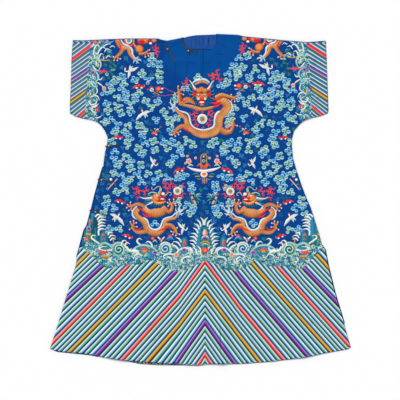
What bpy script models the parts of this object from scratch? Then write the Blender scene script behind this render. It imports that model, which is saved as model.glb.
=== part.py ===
"""A lined, embroidered dragon robe, lying flat on its back with the front up.

The robe has no shoulder seam. Two lengths of silk, one for each side of the wearer, are folded over the
shoulders and sewn down the centre back. The left length's front carries the overlap front, sewn on down the
centre front, which crosses the right length's inner front and closes with five corded toggles.

X runs towards the wearer's left, Y from hem to neck and Z up from the surface that the robe lies on. The
origin is at the middle of the robe's outline, on that surface. Tables are in millimetres, and all else is
in metres.
"""

from collections import namedtuple

import bpy
import numpy as np

MM = 0.001

# Cloth, in metres.
WALL = 0.0015  # silk, interlining and lining together
GAP = 0.0003  # between pieces that touch or are sewn together
FOLD_SPACE = 0.002  # between back and front inside the shoulder fold
FOLD_REACH = 0.018  # how far below the shoulder the front settles on the back
SEAM_REACH = 0.042  # how far from the centre front seam the left front steps down to the back
HIDDEN_INSET = 0.002  # the inner front's side edge, back from the overlap's
NECK_BLEND = 0.140  # how far below the neck the grid lines spread evenly again
NECK_SIDE_BLEND = 0.030  # how far beside the neck a front section takes the shoulder's bend
SHOULDER_FADE = 0.060  # folds die out over this length below the shoulder
OPEN_EDGE_MARGIN = 0.040  # the inner front has no folds nearer than this to the overlap's edge
OPEN_EDGE_FADE = 0.045  # and they die out over this length

# Grid lines across a length: from the centre seam to the neck's side, and on to the cuff or side edge.
NECK_COLUMNS = 3
BODY_COLUMNS = 12
LONGEST_ROW = 0.052  # the most that two cross sections lie apart
FOLD_ANGLES = np.radians((-45.0, 0.0, 45.0))  # sections round the shoulder fold, between back and front

# The centre seams, front and back, run straight from neck to hem.
SEAM_TOP = (12 * MM, 616 * MM)
SEAM_FOOT = (27 * MM, -674 * MM)
HEM_LEVEL = -0.610  # level of the side edges' lower ends
HEM_BLEND = 0.210  # height over which a section bends from the hem's curve to a level line
SHOULDER_BLEND = 0.200  # the same below the shoulder line

# Colours, linear, and roughness.
ROYAL_BLUE = (0.010, 0.060, 0.330)
LINING_BLUE = (0.020, 0.110, 0.420)
NAVY = (0.005, 0.011, 0.150)
OLIVE = (0.040, 0.036, 0.018)
BRASS = (0.650, 0.420, 0.120)
SATIN = 0.42
PLAIN_SILK = 0.5
CORDED = 0.7
POLISHED = 0.3

Edge = namedtuple("Edge", "y x")
Rim = namedtuple("Rim", "x y")
Fold = namedtuple("Fold", "x1 y1 x2 y2 width height")
Toggle = namedtuple("Toggle", "button loop strap")

# Outer edge of each side, from the shoulder end of the cuff to the hem corner: one row a section.
RIGHT_EDGE = [
    Edge(667, -523), Edge(649, -524), Edge(573, -529), Edge(450, -532), Edge(393, -535), Edge(354, -535),
    Edge(341, -510), Edge(334, -486), Edge(327, -446), Edge(319, -424), Edge(305, -408),
    Edge(282, -392), Edge(256, -381), Edge(241, -379), Edge(220, -384), Edge(192, -392),
    Edge(134, -399), Edge(95, -411), Edge(24, -431), Edge(-34, -445), Edge(-104, -464),
    Edge(-124, -476), Edge(-231, -505), Edge(-270, -511), Edge(-419, -557), Edge(-522, -588),
    Edge(-610, -617),
]  # fmt: skip
LEFT_EDGE = [
    Edge(680, 512), Edge(662, 513), Edge(573, 517), Edge(413, 522), Edge(364, 524), Edge(354, 520),
    Edge(343, 490), Edge(337, 461), Edge(331, 437), Edge(321, 419), Edge(309, 406),
    Edge(282, 383), Edge(249, 374), Edge(218, 374), Edge(171, 379), Edge(126, 392),
    Edge(69, 411), Edge(10, 433), Edge(-30, 451), Edge(-79, 467), Edge(-140, 486),
    Edge(-188, 498), Edge(-204, 510), Edge(-270, 523), Edge(-380, 550), Edge(-505, 588),
    Edge(-610, 616),
]  # fmt: skip
# Each side of the neck opening in the front, from its lowest point up.
RIGHT_NECK = [Edge(616, -55), Edge(627, -65), Edge(641, -71), Edge(667, -70)]
LEFT_NECK = [Edge(616, 44), Edge(622, 55), Edge(630, 61), Edge(647, 68), Edge(680, 64)]
# The overlap's edge, from the neck over the collar bone and chest to the underarm.
OVERLAP_EDGE = [
    Edge(645, -80), Edge(639, -102), Edge(631, -130), Edge(615, -136), Edge(598, -147),
    Edge(573, -153), Edge(530, -154), Edge(475, -154), Edge(468, -178), Edge(462, -215),
    Edge(450, -268), Edge(436, -289), Edge(425, -311), Edge(405, -330), Edge(348, -362),
    Edge(282, -380), Edge(241, -381),
]  # fmt: skip
# The shoulder line from cuff to cuff, and the hems of front and back from side to side.
SHOULDER = [
    Rim(-523, 654), Rim(-482, 653), Rim(-379, 658), Rim(-299, 661), Rim(-174, 661), Rim(-160, 656),
    Rim(-137, 652), Rim(-90, 661), Rim(-48, 672), Rim(-17, 677), Rim(64, 680), Rim(154, 676),
    Rim(176, 670), Rim(248, 663), Rim(338, 654), Rim(416, 648), Rim(441, 646), Rim(512, 652),
]  # fmt: skip
FRONT_HEM = [
    Rim(-617, -610), Rim(-586, -621), Rim(-457, -634), Rim(-361, -653), Rim(-301, -660),
    Rim(-178, -669), Rim(-100, -674), Rim(-10, -680), Rim(27, -674), Rim(158, -673),
    Rim(285, -664), Rim(418, -648), Rim(527, -626), Rim(601, -613), Rim(616, -604),
]  # fmt: skip
BACK_HEM = [
    Rim(-617, -609), Rim(-586, -620), Rim(-457, -633), Rim(-361, -653), Rim(-301, -662),
    Rim(-252, -673), Rim(-178, -678), Rim(-100, -679), Rim(-10, -679), Rim(27, -673),
    Rim(158, -671), Rim(285, -662), Rim(418, -646), Rim(527, -624), Rim(601, -611), Rim(616, -603),
]  # fmt: skip

# The largest folds of the front: soft ridges along a line, with their half width and height.
FOLDS = [
    Fold(83, -470, 86, -690, 26, 7), Fold(-85, -390, -200, -500, 34, 5),
    Fold(-200, -500, -330, -660, 38, 4), Fold(275, -350, 345, -450, 32, 5),
    Fold(345, -450, 430, -640, 40, 4), Fold(0, -250, -20, -570, 44, 4),
    Fold(-285, 290, -190, 375, 28, 5), Fold(330, 205, 225, 325, 32, 6),
    Fold(430, 355, 330, 480, 30, 5), Fold(-450, 370, -400, 520, 30, 5),
    Fold(-10, 545, -14, 430, 26, 3), Fold(-120, 150, -200, -70, 42, 4),
    Fold(130, 130, 215, -100, 42, 4), Fold(-425, -140, -500, -390, 30, 5),
    Fold(440, -170, 520, -430, 30, 5), Fold(130, 600, 270, 555, 28, 3),
    Fold(-330, 590, -250, 520, 28, 3), Fold(60, 330, 90, 180, 36, 3),
]  # fmt: skip

# The lining that shows in the neck, with its gathers.
LINING_INSET = 0.0012
LINING_WALL = 0.0010
LINING_TOP_INSET = 0.004
LINING_COLUMNS = 22
LINING_ROWS = 6
GATHERS = [
    Fold(-42, 612, -40, 668, 5, 1.6), Fold(-22, 600, -20, 668, 4, 2.6), Fold(-9, 605, -8, 670, 4, 2.2),
    Fold(4, 612, 6, 672, 4, 2.8), Fold(27, 632, 31, 672, 5, 3.6), Fold(46, 640, 50, 674, 5, 2.0),
]  # fmt: skip

# Bindings: between which levels, or from which to which side, the back's edge shows past the front.
BINDING_WIDTH = 0.004
RIGHT_BINDING_SPAN = (-0.236, 0.136)
LEFT_BINDING_SPAN = (-0.506, -0.186)
HEM_BINDING_SPAN = (-0.600, -0.420)

# Toggles, in millimetres: the ball button's place, the loop's route back from it and the strap's end.
TOGGLES = [
    Toggle((-50, 610), [(-61, 622), (-67, 633), (-72, 645), (-73, 656)], (-2, 609)),
    Toggle((-135, 617), [(-141, 630), (-147, 642)], (-103, 566)),
    Toggle((-375, 221), [(-386, 219)], (-331, 225)),
    Toggle((-405, 81), [(-417, 83)], (-352, 71)),
    Toggle((-430, -50), [(-450, -44)], (-381, -65)),
]
CORD_RADIUS = 0.0014
BALL_RADIUS = 0.0045
EYE_RADIUS = 0.0044  # of the loop's eye round the button's foot, to the cord's middle
EYE_POINTS = 7
STRAP_END_POINTS = 3
LAYERS_ON_RIGHT = 3  # back, inner front and overlap lie under every toggle
FIRST_SIDE_TOGGLE = 3  # from the underarm down, loops come round the edge from the back
DROP = 0.0042  # how far outside the edge such a loop goes down
LOW_END = 0.0017  # level of that end
OVER_THE_EDGE = ((0.6, 0.97), (0.9, 0.7), (1.0, 0.0))  # shares of the way out and of the height there


def soft_step(t):
    """0 to 1 along an S-shaped cubic, level at both ends."""
    t = np.clip(t, 0.0, 1.0)
    return t * t * (3.0 - 2.0 * t)


def across(table, x):
    """Level of a shoulder or hem line at x."""
    return np.interp(x, [r.x * MM for r in table], [r.y * MM for r in table])


def beside(table, y):
    """Place of a side edge at level y."""
    rows = sorted(table, key=lambda row: row.y)
    return np.interp(y, [r.y * MM for r in rows], [r.x * MM for r in rows])


def seam(y):
    """The straight centre seam."""
    share = (y - SEAM_FOOT[1]) / (SEAM_TOP[1] - SEAM_FOOT[1])
    return SEAM_FOOT[0] + (SEAM_TOP[0] - SEAM_FOOT[0]) * share


def ridges(table, x, y):
    """Height of the soft ridges at x, y: each falls off as a bell curve with distance from its line."""
    total = np.zeros(np.broadcast(x, y).shape)
    for fold in table:
        x1, y1, x2, y2, width, height = (value * MM for value in fold)
        run_x, run_y = x2 - x1, y2 - y1
        along = ((x - x1) * run_x + (y - y1) * run_y) / (run_x**2 + run_y**2)
        along = np.clip(along, 0.0, 1.0)
        off = np.hypot(x - x1 - along * run_x, y - y1 - along * run_y)
        total = total + height * np.exp(-((off / width) ** 2))
    return total


def left_front_lift(x, y):
    """Underside of the left front above the back: it steps up to the overlap at the centre seam."""
    step = (WALL + GAP) * soft_step(1.0 - (x - seam(y)) / SEAM_REACH)
    below = across(SHOULDER, x) - y
    loft = (FOLD_SPACE - GAP) * soft_step(1.0 - below / FOLD_REACH)
    return GAP + step + loft + ridges(FOLDS, x, y) * soft_step(below / SHOULDER_FADE)


def right_front_lift(x, y):
    """Underside of the inner front above the back: it has folds only where the overlap leaves it bare."""
    below = across(SHOULDER, x) - y
    loft = (FOLD_SPACE - GAP) * soft_step(1.0 - below / FOLD_REACH)
    clear = beside(OVERLAP_EDGE, y) - OPEN_EDGE_MARGIN - x
    above = y - OVERLAP_EDGE[-1].y * MM - OPEN_EDGE_MARGIN
    bare = soft_step(clear / OPEN_EDGE_FADE) * soft_step(above / OPEN_EDGE_FADE)
    return GAP + loft + bare * ridges(FOLDS, x, y) * soft_step(below / SHOULDER_FADE)


def overlap_lift(x, y):
    """Underside of the overlap above the back."""
    below = across(SHOULDER, x) - y
    return 2 * GAP + WALL + ridges(FOLDS, x, y) * soft_step((below - FOLD_REACH) / SHOULDER_FADE)


def levels(*tables):
    """Levels of the cross sections, from hem to shoulder: the tables' own and enough between them."""
    known = sorted({row.y * MM for table in tables for row in table})
    kept = [known[0]]
    for level in known[1:]:
        parts = max(1, int(np.ceil((level - kept[-1]) / LONGEST_ROW)))
        start = kept[-1]
        kept += [start + (level - start) * part / parts for part in range(1, parts + 1)]
    return np.array(kept)


def section_points(level, top_level, seam_x, neck_x, edge_x, hem):
    """One cross section's x and y: grid lines from seam to neck side to edge, bent to hem and shoulder.

    In the front, the stretch between seam and neck side isn't bent to the shoulder line.
    """
    inner = np.linspace(seam_x, neck_x, NECK_COLUMNS + 1)
    outer = np.linspace(neck_x, edge_x, BODY_COLUMNS + 1)[1:]
    x = np.concatenate([inner, outer])
    to_top = soft_step(1.0 - (top_level - level) / SHOULDER_BLEND)
    if hem is FRONT_HEM:
        to_top = to_top * soft_step((np.abs(x - seam_x) - abs(neck_x - seam_x)) / NECK_SIDE_BLEND)
    to_hem = soft_step(1.0 - (level - HEM_LEVEL) / HEM_BLEND)
    bend = (across(SHOULDER, x) - top_level) * to_top + (across(hem, x) - HEM_LEVEL) * to_hem
    return x, level + bend


def neck_line(level, neck_side, seam_x, edge_x):
    """Where the grid line of the neck's side runs: at the neck's side, and evenly placed further down."""
    even = seam_x + (edge_x - seam_x) * NECK_COLUMNS / (NECK_COLUMNS + BODY_COLUMNS)
    drop = soft_step((SEAM_TOP[1] - level) / NECK_BLEND)
    return neck_side * (1.0 - drop) + even * drop


def cells_kept(neck_open):
    """Which cells of a length's or the overlap's grid hold cloth: all but those in the neck."""
    open_rows = np.array(neck_open)
    kept = np.ones((len(open_rows) - 1, NECK_COLUMNS + BODY_COLUMNS), bool)
    kept[open_rows[:-1] | open_rows[1:], :NECK_COLUMNS] = False
    return kept


def solid(name, outside, inside, kept, colour, roughness):
    """A closed wall between two grids of points, (rows, columns, 3), with faces only where kept is true.

    Both grids are split along the same diagonals, so that the wall keeps its thickness. Each edge of a kept
    cell with no kept neighbour is closed by a strip from one grid to the other.
    """
    rows, columns = kept.shape
    index = np.arange((rows + 1) * (columns + 1)).reshape(rows + 1, columns + 1)
    shift = index.size
    a, b = index[:-1, :-1][kept], index[:-1, 1:][kept]
    c, d = index[1:, 1:][kept], index[1:, :-1][kept]
    upper = np.concatenate([np.stack([a, b, c], 1), np.stack([a, c, d], 1)])
    lower = upper[:, ::-1] + shift
    padded = np.pad(kept, 1)
    own = padded[1:-1, 1:-1]
    strips = []
    for neighbour, first, second in (
        (padded[:-2, 1:-1], index[:-1, :-1], index[:-1, 1:]),
        (padded[1:-1, 2:], index[:-1, 1:], index[1:, 1:]),
        (padded[2:, 1:-1], index[1:, 1:], index[1:, :-1]),
        (padded[1:-1, :-2], index[1:, :-1], index[:-1, :-1]),
    ):
        open_side = own & ~neighbour
        p, q = first[open_side], second[open_side]
        strips += [np.stack([q, p, p + shift], 1), np.stack([q, p + shift, q + shift], 1)]
    faces = np.concatenate([upper, lower, *strips])
    points = np.concatenate([outside.reshape(-1, 3), inside.reshape(-1, 3)])
    used = np.unique(faces)
    renumber = np.zeros(len(points), int)
    renumber[used] = np.arange(len(used))
    mesh = bpy.data.meshes.new(name)
    mesh.from_pydata(points[used].tolist(), [], renumber[faces].tolist())
    if np.linalg.det(points[faces]).sum() < 0:
        mesh.flip_normals()
    return placed(name, mesh, colour, roughness)


def placed(name, data, colour, roughness, metallic=0.0):
    """An object of this mesh or curve, with a material of its own."""
    finish = bpy.data.materials.new(name)
    finish.use_nodes = True
    shader = finish.node_tree.nodes["Principled BSDF"]
    shader.inputs["Base Color"].default_value = (*colour, 1.0)
    shader.inputs["Roughness"].default_value = roughness
    shader.inputs["Metallic"].default_value = metallic
    finish.diffuse_color = (*colour, 1.0)
    data.materials.append(finish)
    made = bpy.data.objects.new(name, data)
    bpy.context.scene.collection.objects.link(made)
    return made


def stack(x, y, z):
    return np.stack([x, y, z], -1)


def length(name, side, edge, neck, lift):
    """A length of silk: back from the hem up, round the shoulder fold, and front down to the hem.

    side is -1 for the wearer's right and 1 for the left, and keeps the two lengths apart at the seams.
    """
    top = edge[0].y * MM
    shift = side * GAP / 2
    outside, inside, neck_open = [], [], []
    middle = WALL + FOLD_SPACE / 2
    bend = (WALL + FOLD_SPACE) / 2

    for level in levels(edge):
        edge_x = beside(edge, level)
        neck_x = neck_line(level, neck[-1].x * MM, seam(level), edge_x)
        x, y = section_points(level, top, seam(level) + shift, neck_x, edge_x, BACK_HEM)
        y = np.minimum(y, across(SHOULDER, x) - bend - WALL / 2)
        outside.append(stack(x, y, np.zeros_like(x)))
        inside.append(stack(x, y, np.full_like(x, WALL)))
        neck_open.append(False)

    x = outside[-1][:, 0]
    centre = across(SHOULDER, x) - bend - WALL / 2
    for angle in FOLD_ANGLES:
        for grid, radius in ((outside, bend + WALL / 2), (inside, bend - WALL / 2)):
            level_z = np.full_like(x, middle + radius * np.sin(angle))
            grid.append(stack(x, centre + radius * np.cos(angle), level_z))
        neck_open.append(True)

    for level in levels(edge, neck)[::-1]:
        edge_x = beside(edge, level)
        if side < 0 and level < OVERLAP_EDGE[-1].y * MM:
            edge_x = edge_x + HIDDEN_INSET
        neck_x = neck_line(level, beside(neck, level), seam(level), edge_x)
        x, y = section_points(level, top, seam(level) + shift, neck_x, edge_x, FRONT_HEM)
        y = np.minimum(y, across(SHOULDER, x) - bend - WALL / 2)
        below = WALL + lift(x, y)
        outside.append(stack(x, y, below + WALL))
        inside.append(stack(x, y, below))
        neck_open.append(level > SEAM_TOP[1])

    solid(name, np.array(outside), np.array(inside), cells_kept(neck_open), ROYAL_BLUE, SATIN)
    return np.array(outside)


def overlap_front():
    """The outer front, from its curved edge to the centre seam, lying on the inner front."""
    top = RIGHT_EDGE[0].y * MM
    side_rows = [row for row in RIGHT_EDGE if row.y < OVERLAP_EDGE[-1].y]
    whole_edge = OVERLAP_EDGE + side_rows
    neck = [row for row in RIGHT_NECK if row.y <= OVERLAP_EDGE[0].y]
    outside, inside, neck_open = [], [], []
    for level in levels(whole_edge, neck):
        edge_x = beside(whole_edge, level)
        neck_x = neck_line(level, beside(RIGHT_NECK, level), seam(level), edge_x)
        x, y = section_points(level, top, seam(level) - GAP / 2, neck_x, edge_x, FRONT_HEM)
        below = WALL + overlap_lift(x, y)
        outside.append(stack(x, y, below + WALL))
        inside.append(stack(x, y, below))
        neck_open.append(level > SEAM_TOP[1])
    solid("overlap_front", np.array(outside), np.array(inside), cells_kept(neck_open), ROYAL_BLUE, SATIN)


def neck_lining():
    """The gathered lining on the back, inside the neck opening."""
    low = SEAM_TOP[1] + LINING_INSET
    high = RIGHT_EDGE[0].y * MM - LINING_TOP_INSET
    extra = (LEFT_EDGE[0].y - RIGHT_EDGE[0].y) * MM
    outside, inside = [], []
    for level in np.linspace(low, high, LINING_ROWS + 1):
        rise = extra * soft_step((level - low) / (high - low))
        left = beside(RIGHT_NECK, level) + LINING_INSET
        right = beside(LEFT_NECK, level + rise) - LINING_INSET
        x = np.linspace(left, right, LINING_COLUMNS + 1)
        y = level + rise * soft_step((x - left) / (right - left))
        below = WALL + GAP + ridges(GATHERS, x, y)
        outside.append(stack(x, y, below + LINING_WALL))
        inside.append(stack(x, y, below))
    kept = np.ones((LINING_ROWS, LINING_COLUMNS), bool)
    solid("neck_lining", np.array(outside), np.array(inside), kept, LINING_BLUE, PLAIN_SILK)


def binding(name, points, out_x, out_y):
    """A narrow flat strip outside a row of edge points, on the surface that the robe lies on."""
    near = points + np.array([out_x, out_y, 0.0]) * (GAP + 0.0001)
    far = points + np.array([out_x, out_y, 0.0]) * BINDING_WIDTH
    low = np.array([near, far])
    high = low + np.array([0.0, 0.0, WALL])
    solid(name, high, low, np.ones((1, len(points) - 1), bool), NAVY, PLAIN_SILK)


def bindings(right_grid, left_grid):
    """Bindings of the back's edges, made from the edge points of the back's own sections."""
    for name, grid, side, span in (
        ("right_side_binding", right_grid, -1.0, RIGHT_BINDING_SPAN),
        ("left_side_binding", left_grid, 1.0, LEFT_BINDING_SPAN),
    ):
        edge = grid[: len(levels(RIGHT_EDGE if side < 0 else LEFT_EDGE)), -1]
        shown = (edge[:, 1] > span[0]) & (edge[:, 1] < span[1])
        binding(name, edge[shown], side, 0.0)
    hem = right_grid[0]
    shown = (hem[:, 0] > HEM_BINDING_SPAN[0]) & (hem[:, 0] < HEM_BINDING_SPAN[1])
    binding("hem_binding", hem[shown], 0.0, -1.0)


def cord(name, points):
    """A round cord along points, with closed ends."""
    curve = bpy.data.curves.new(name, "CURVE")
    curve.dimensions = "3D"
    curve.bevel_depth = CORD_RADIUS
    curve.bevel_resolution = 1
    curve.use_fill_caps = True
    spline = curve.splines.new("POLY")
    spline.points.add(len(points) - 1)
    spline.points.foreach_set("co", np.pad(points, ((0, 0), (0, 1)), constant_values=1.0).ravel())
    return placed(name, curve, OLIVE, CORDED)


def hairpin(route, end_radius, end_points, leg_space):
    """Points of a cord doubled along a route: out on one side, round the route's first point and back.

    route is (n, 3). The legs run leg_space to each side, and the turn has end_radius round route[0].
    """
    run = np.gradient(route[:, :2], axis=0)
    run /= np.linalg.norm(run, axis=1, keepdims=True)
    aside = np.pad(np.stack([-run[:, 1], run[:, 0]], 1), ((0, 0), (0, 1)))
    legs = [route[1:] + side * leg_space * aside[1:] for side in (1.0, -1.0)]
    open_angle = np.arcsin(min(1.0, leg_space / end_radius))
    heading = np.arctan2(run[0, 1], run[0, 0])
    turn = heading + np.linspace(open_angle, 2 * np.pi - open_angle, end_points)
    round_end = stack(
        route[0, 0] + end_radius * np.cos(turn),
        route[0, 1] + end_radius * np.sin(turn),
        np.full(end_points, route[0, 2]),
    )
    return np.concatenate([legs[0][::-1], round_end, legs[1]])


def toggle(number, item):
    """A ball button, the loop whose eye lies round its foot, and the strap that holds it."""
    cord_level = LAYERS_ON_RIGHT * (WALL + GAP) + CORD_RADIUS
    centre = np.array([item.button[0] * MM, item.button[1] * MM, cord_level])
    beside_cord = CORD_RADIUS + GAP / 2
    loop = [(*(value * MM for value in point), cord_level) for point in item.loop]
    if number >= FIRST_SIDE_TOGGLE:
        way = np.array(loop[-1][:2]) - centre[:2]
        way = way / np.linalg.norm(way) * DROP
        out = np.array(loop[-1])
        for share, height in OVER_THE_EDGE:
            level = LOW_END + (cord_level - LOW_END) * height
            loop.append((out[0] + way[0] * share, out[1] + way[1] * share, level))
    route = np.array([centre, *loop])
    cord(f"toggle_{number}_loop", hairpin(route, EYE_RADIUS, EYE_POINTS, beside_cord))

    end = np.array([item.strap[0] * MM, item.strap[1] * MM, cord_level])
    way = (end - centre) / np.linalg.norm(end - centre)
    start = centre + way * (EYE_RADIUS + CORD_RADIUS + GAP + CORD_RADIUS + beside_cord)
    route = np.array([start, start * 0.5 + end * 0.5, end])
    cord(f"toggle_{number}_strap", hairpin(route, beside_cord, STRAP_END_POINTS, beside_cord))

    reach = BALL_RADIUS + CORD_RADIUS + GAP
    height = cord_level + np.sqrt(reach**2 - EYE_RADIUS**2)
    bpy.ops.mesh.primitive_uv_sphere_add(
        segments=12, ring_count=8, radius=BALL_RADIUS, location=(centre[0], centre[1], height)
    )
    ball = bpy.context.active_object
    mesh = ball.data
    bpy.data.objects.remove(ball)
    made = placed(f"toggle_{number}_button", mesh, BRASS, POLISHED, 1.0)
    made.location = (centre[0], centre[1], height)
    mesh.shade_smooth()


for old in list(bpy.data.objects):
    bpy.data.objects.remove(old, do_unlink=True)
right_points = length("right_length", -1, RIGHT_EDGE, RIGHT_NECK, right_front_lift)
left_points = length("left_length", 1, LEFT_EDGE, LEFT_NECK, left_front_lift)
overlap_front()
neck_lining()
bindings(right_points, left_points)
for place, row in enumerate(TOGGLES, 1):
    toggle(place, row)
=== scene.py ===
"""Dresses the frame of a lined dragon robe: silk, embroidery, bindings, seams and toggles.

The robe lies flat on its back. X runs towards the wearer's left, Y from hem to neck, Z up. Outline tables are
in millimetres. The embroidery is set out on a sheet of squares, counted right and down from the sheet's top
left corner, as an embroiderer's drawing is, and each shape is sewn to the cloth where its square lies.
"""

from collections import namedtuple

import bpy
import numpy as np
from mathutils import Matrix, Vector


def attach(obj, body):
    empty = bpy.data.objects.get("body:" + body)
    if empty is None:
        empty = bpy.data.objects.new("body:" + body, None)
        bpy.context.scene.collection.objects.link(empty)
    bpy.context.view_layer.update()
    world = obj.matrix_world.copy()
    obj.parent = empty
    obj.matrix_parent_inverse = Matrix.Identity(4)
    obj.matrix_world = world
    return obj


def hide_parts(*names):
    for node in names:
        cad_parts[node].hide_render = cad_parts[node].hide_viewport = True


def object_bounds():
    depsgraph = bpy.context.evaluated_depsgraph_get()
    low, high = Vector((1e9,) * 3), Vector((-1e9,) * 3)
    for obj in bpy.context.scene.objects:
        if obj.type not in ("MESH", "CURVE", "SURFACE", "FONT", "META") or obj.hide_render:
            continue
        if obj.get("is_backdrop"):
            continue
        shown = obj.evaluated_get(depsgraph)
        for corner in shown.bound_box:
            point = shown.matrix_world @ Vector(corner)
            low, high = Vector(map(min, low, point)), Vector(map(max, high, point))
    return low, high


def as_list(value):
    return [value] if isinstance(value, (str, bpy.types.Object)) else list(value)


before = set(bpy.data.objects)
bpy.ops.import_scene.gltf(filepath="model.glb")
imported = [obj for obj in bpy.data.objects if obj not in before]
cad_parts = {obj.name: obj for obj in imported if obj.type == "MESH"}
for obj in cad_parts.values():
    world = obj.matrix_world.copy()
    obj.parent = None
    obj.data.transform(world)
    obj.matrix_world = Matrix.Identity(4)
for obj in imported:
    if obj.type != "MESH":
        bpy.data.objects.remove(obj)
CAD_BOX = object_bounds()

bl_info = {
    "name": "Dragon robe dresser",
    "version": (1, 0, 0),
    "blender": (4, 5, 0),
    "location": "3D View > Sidebar > Robe",
    "description": "Builds the silk, embroidery and toggles of a dragon robe over its frame",
    "category": "Object",
}

MM = 0.001
SQUARE = 0.0041  # side of one square of the embroidery's drawing
SHEET = 400  # squares across the drawing
MIDDLE = (200.5, 199.75)  # the square over the robe's origin

# Cloth, in metres.
WALL = 0.0015
GAP = 0.0003  # between pieces that touch or are sewn together
SEAM_GAP = 0.00006  # between the two halves at the centre seam
FOLD_SPACE = 0.002  # between back and front inside the shoulder fold
FOLD_REACH = 0.018  # how far below the shoulder that space closes
SEAM_REACH = 0.042  # width over which the left front steps up to the overlap
HIDDEN_INSET = 0.002  # of the inner front's edge under the overlap's
NECK_BLEND = 0.140
NECK_SIDE_BLEND = 0.030
SHOULDER_FADE = 0.060
OPEN_EDGE_MARGIN = 0.040
OPEN_EDGE_FADE = 0.045
NECK_COLUMNS = 9
BODY_COLUMNS = 80
FOLD_ANGLES = np.radians(np.linspace(-60.0, 60.0, 7))
SEAM_TOP = (12 * MM, 616 * MM)
SEAM_FOOT = (27 * MM, -674 * MM)
HEM_LEVEL = -0.610
HEM_BLEND = 0.210
SHOULDER_BLEND = 0.200
UNDERSIDE = 0.0009  # the back's silk, over the back's embroidery
BACK_TOP = 0.016  # the back's embroidery stops this far below the shoulder line
RIM = 0.0032  # embroidery on the front stops this far below the shoulder line
SINK = 0.35  # mm that an embroidered shape's rim lies under the face of the cloth
LOBE_DEPTH = 0.24  # how deep the notches between a patch's lobes are, of its radius
CUBIC_STEPS = 11  # parts of a smooth line between two of its points
TOP_SHARE = 0.86  # of a stroke's width, between its sunk rims
END_SHARE = 0.8  # a stroke's width at its sunk ends, of that beside them
PATCH_SHARE = 0.88  # of a patch's radius, inside its sunk rim
COIL_START = 0.15  # of a spiral's radius, where it begins
LOFT_SPACE = 1.5  # squares from one point to the next along a patch between two lines
SCALE_ARC, SCALE_SHADE, SCALE_RIM = 0.45, 0.58, 0.22  # a scale's bow, how dark its rim is and how broad
SLIVER = 1e-10  # twice the area, in m2, of a face too narrow to keep

Edge = namedtuple("Edge", "y x")
Rim = namedtuple("Rim", "x y")
Fold = namedtuple("Fold", "x1 y1 x2 y2 width height")
Toggle = namedtuple("Toggle", "button loop strap")
Shape = namedtuple("Shape", "points heights colours stitches faces")
Stripe = namedtuple("Stripe", "thread apex via_x via_y far_x far_y")
Mark = namedtuple("Mark", "x1 y1 x2 y2 width tone")
Cloud = namedtuple("Cloud", "x y kind turn")
Head = namedtuple("Head", "x y size other")
Laid = namedtuple("Laid", "threads height base columns taper scales edge", defaults=(4, (1.0, 1.0), 0.0, ""))
Stroke = namedtuple("Stroke", "lay width route")
Dot = namedtuple("Dot", "lay x y radius stretch turn", defaults=(1.0, 0.0))
Place = namedtuple("Place", "motif x y turn size flip", defaults=(0.0, 1.0, False))
Hill = namedtuple("Hill", "x foot half top")


def table_of(kind, *rows):
    """A table of rows of one kind."""
    return [kind(*row) for row in rows]


def pairs(*values):
    """Points, from the x and y of each in turn."""
    return list(zip(values[::2], values[1::2]))


def strokes(lay, *rows):
    """Strokes laid alike: each row is a width, or several along it, and then x and y of each point."""
    return [Stroke(lay, width, pairs(*route)) for width, *route in rows]


def fans(*rows):
    """Fans of strokes: each row is x and y of their root and then of each of their tips."""
    return [(x, y, pairs(*tips)) for x, y, *tips in rows]


def places(motif, *rows):
    """Places of one motif."""
    return [Place(motif, *row) for row in rows]


RIGHT_EDGE = table_of(
    Edge, (667, -523), (649, -524), (573, -529), (450, -532), (393, -535), (354, -535), (341, -510),
    (334, -486), (327, -446), (319, -424), (305, -408), (282, -392), (256, -381), (241, -379), (220, -384),
    (192, -392), (134, -399), (95, -411), (24, -431), (-34, -445), (-104, -464), (-124, -476), (-231, -505),
    (-270, -511), (-419, -557), (-522, -588), (-610, -617),
)
LEFT_EDGE = table_of(
    Edge, (680, 512), (662, 513), (573, 517), (413, 522), (364, 524), (354, 520), (343, 490), (337, 461),
    (331, 437), (321, 419), (309, 406), (282, 383), (249, 374), (218, 374), (171, 379), (126, 392), (69, 411),
    (10, 433), (-30, 451), (-79, 467), (-140, 486), (-188, 498), (-204, 510), (-270, 523), (-380, 550),
    (-505, 588), (-610, 616),
)
RIGHT_NECK = table_of(
    Edge, (616, -55), (627, -65), (641, -71), (667, -70),
)
LEFT_NECK = table_of(
    Edge, (616, 44), (622, 55), (630, 61), (647, 68), (680, 64),
)
OVERLAP_EDGE = table_of(
    Edge, (645, -80), (639, -102), (631, -130), (615, -136), (598, -147), (573, -153), (530, -154),
    (475, -154), (468, -178), (462, -215), (450, -268), (436, -289), (425, -311), (405, -330), (348, -362),
    (282, -380), (241, -381),
)
SHOULDER = table_of(
    Rim, (-523, 654), (-482, 653), (-379, 658), (-299, 661), (-174, 661), (-160, 656), (-137, 652),
    (-90, 661), (-48, 672), (-17, 677), (64, 680), (154, 676), (176, 670), (248, 663), (338, 654), (416, 648),
    (441, 646), (512, 652),
)
FRONT_HEM = table_of(
    Rim, (-617, -610), (-586, -621), (-457, -634), (-361, -653), (-301, -660), (-178, -669), (-100, -674),
    (-10, -680), (27, -674), (158, -673), (285, -664), (418, -648), (527, -626), (601, -613), (616, -604),
)
BACK_HEM = table_of(
    Rim, (-617, -609), (-586, -620), (-457, -633), (-361, -653), (-301, -662), (-252, -673), (-178, -678),
    (-100, -679), (-10, -679), (27, -673), (158, -671), (285, -662), (418, -646), (527, -624), (601, -611),
    (616, -603),
)
SIDE_EDGE_ROWS = [row for row in RIGHT_EDGE if row.y < OVERLAP_EDGE[-1].y]
OUTER_RIGHT_EDGE = OVERLAP_EDGE + SIDE_EDGE_ROWS  # the overlap's whole free edge

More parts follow.
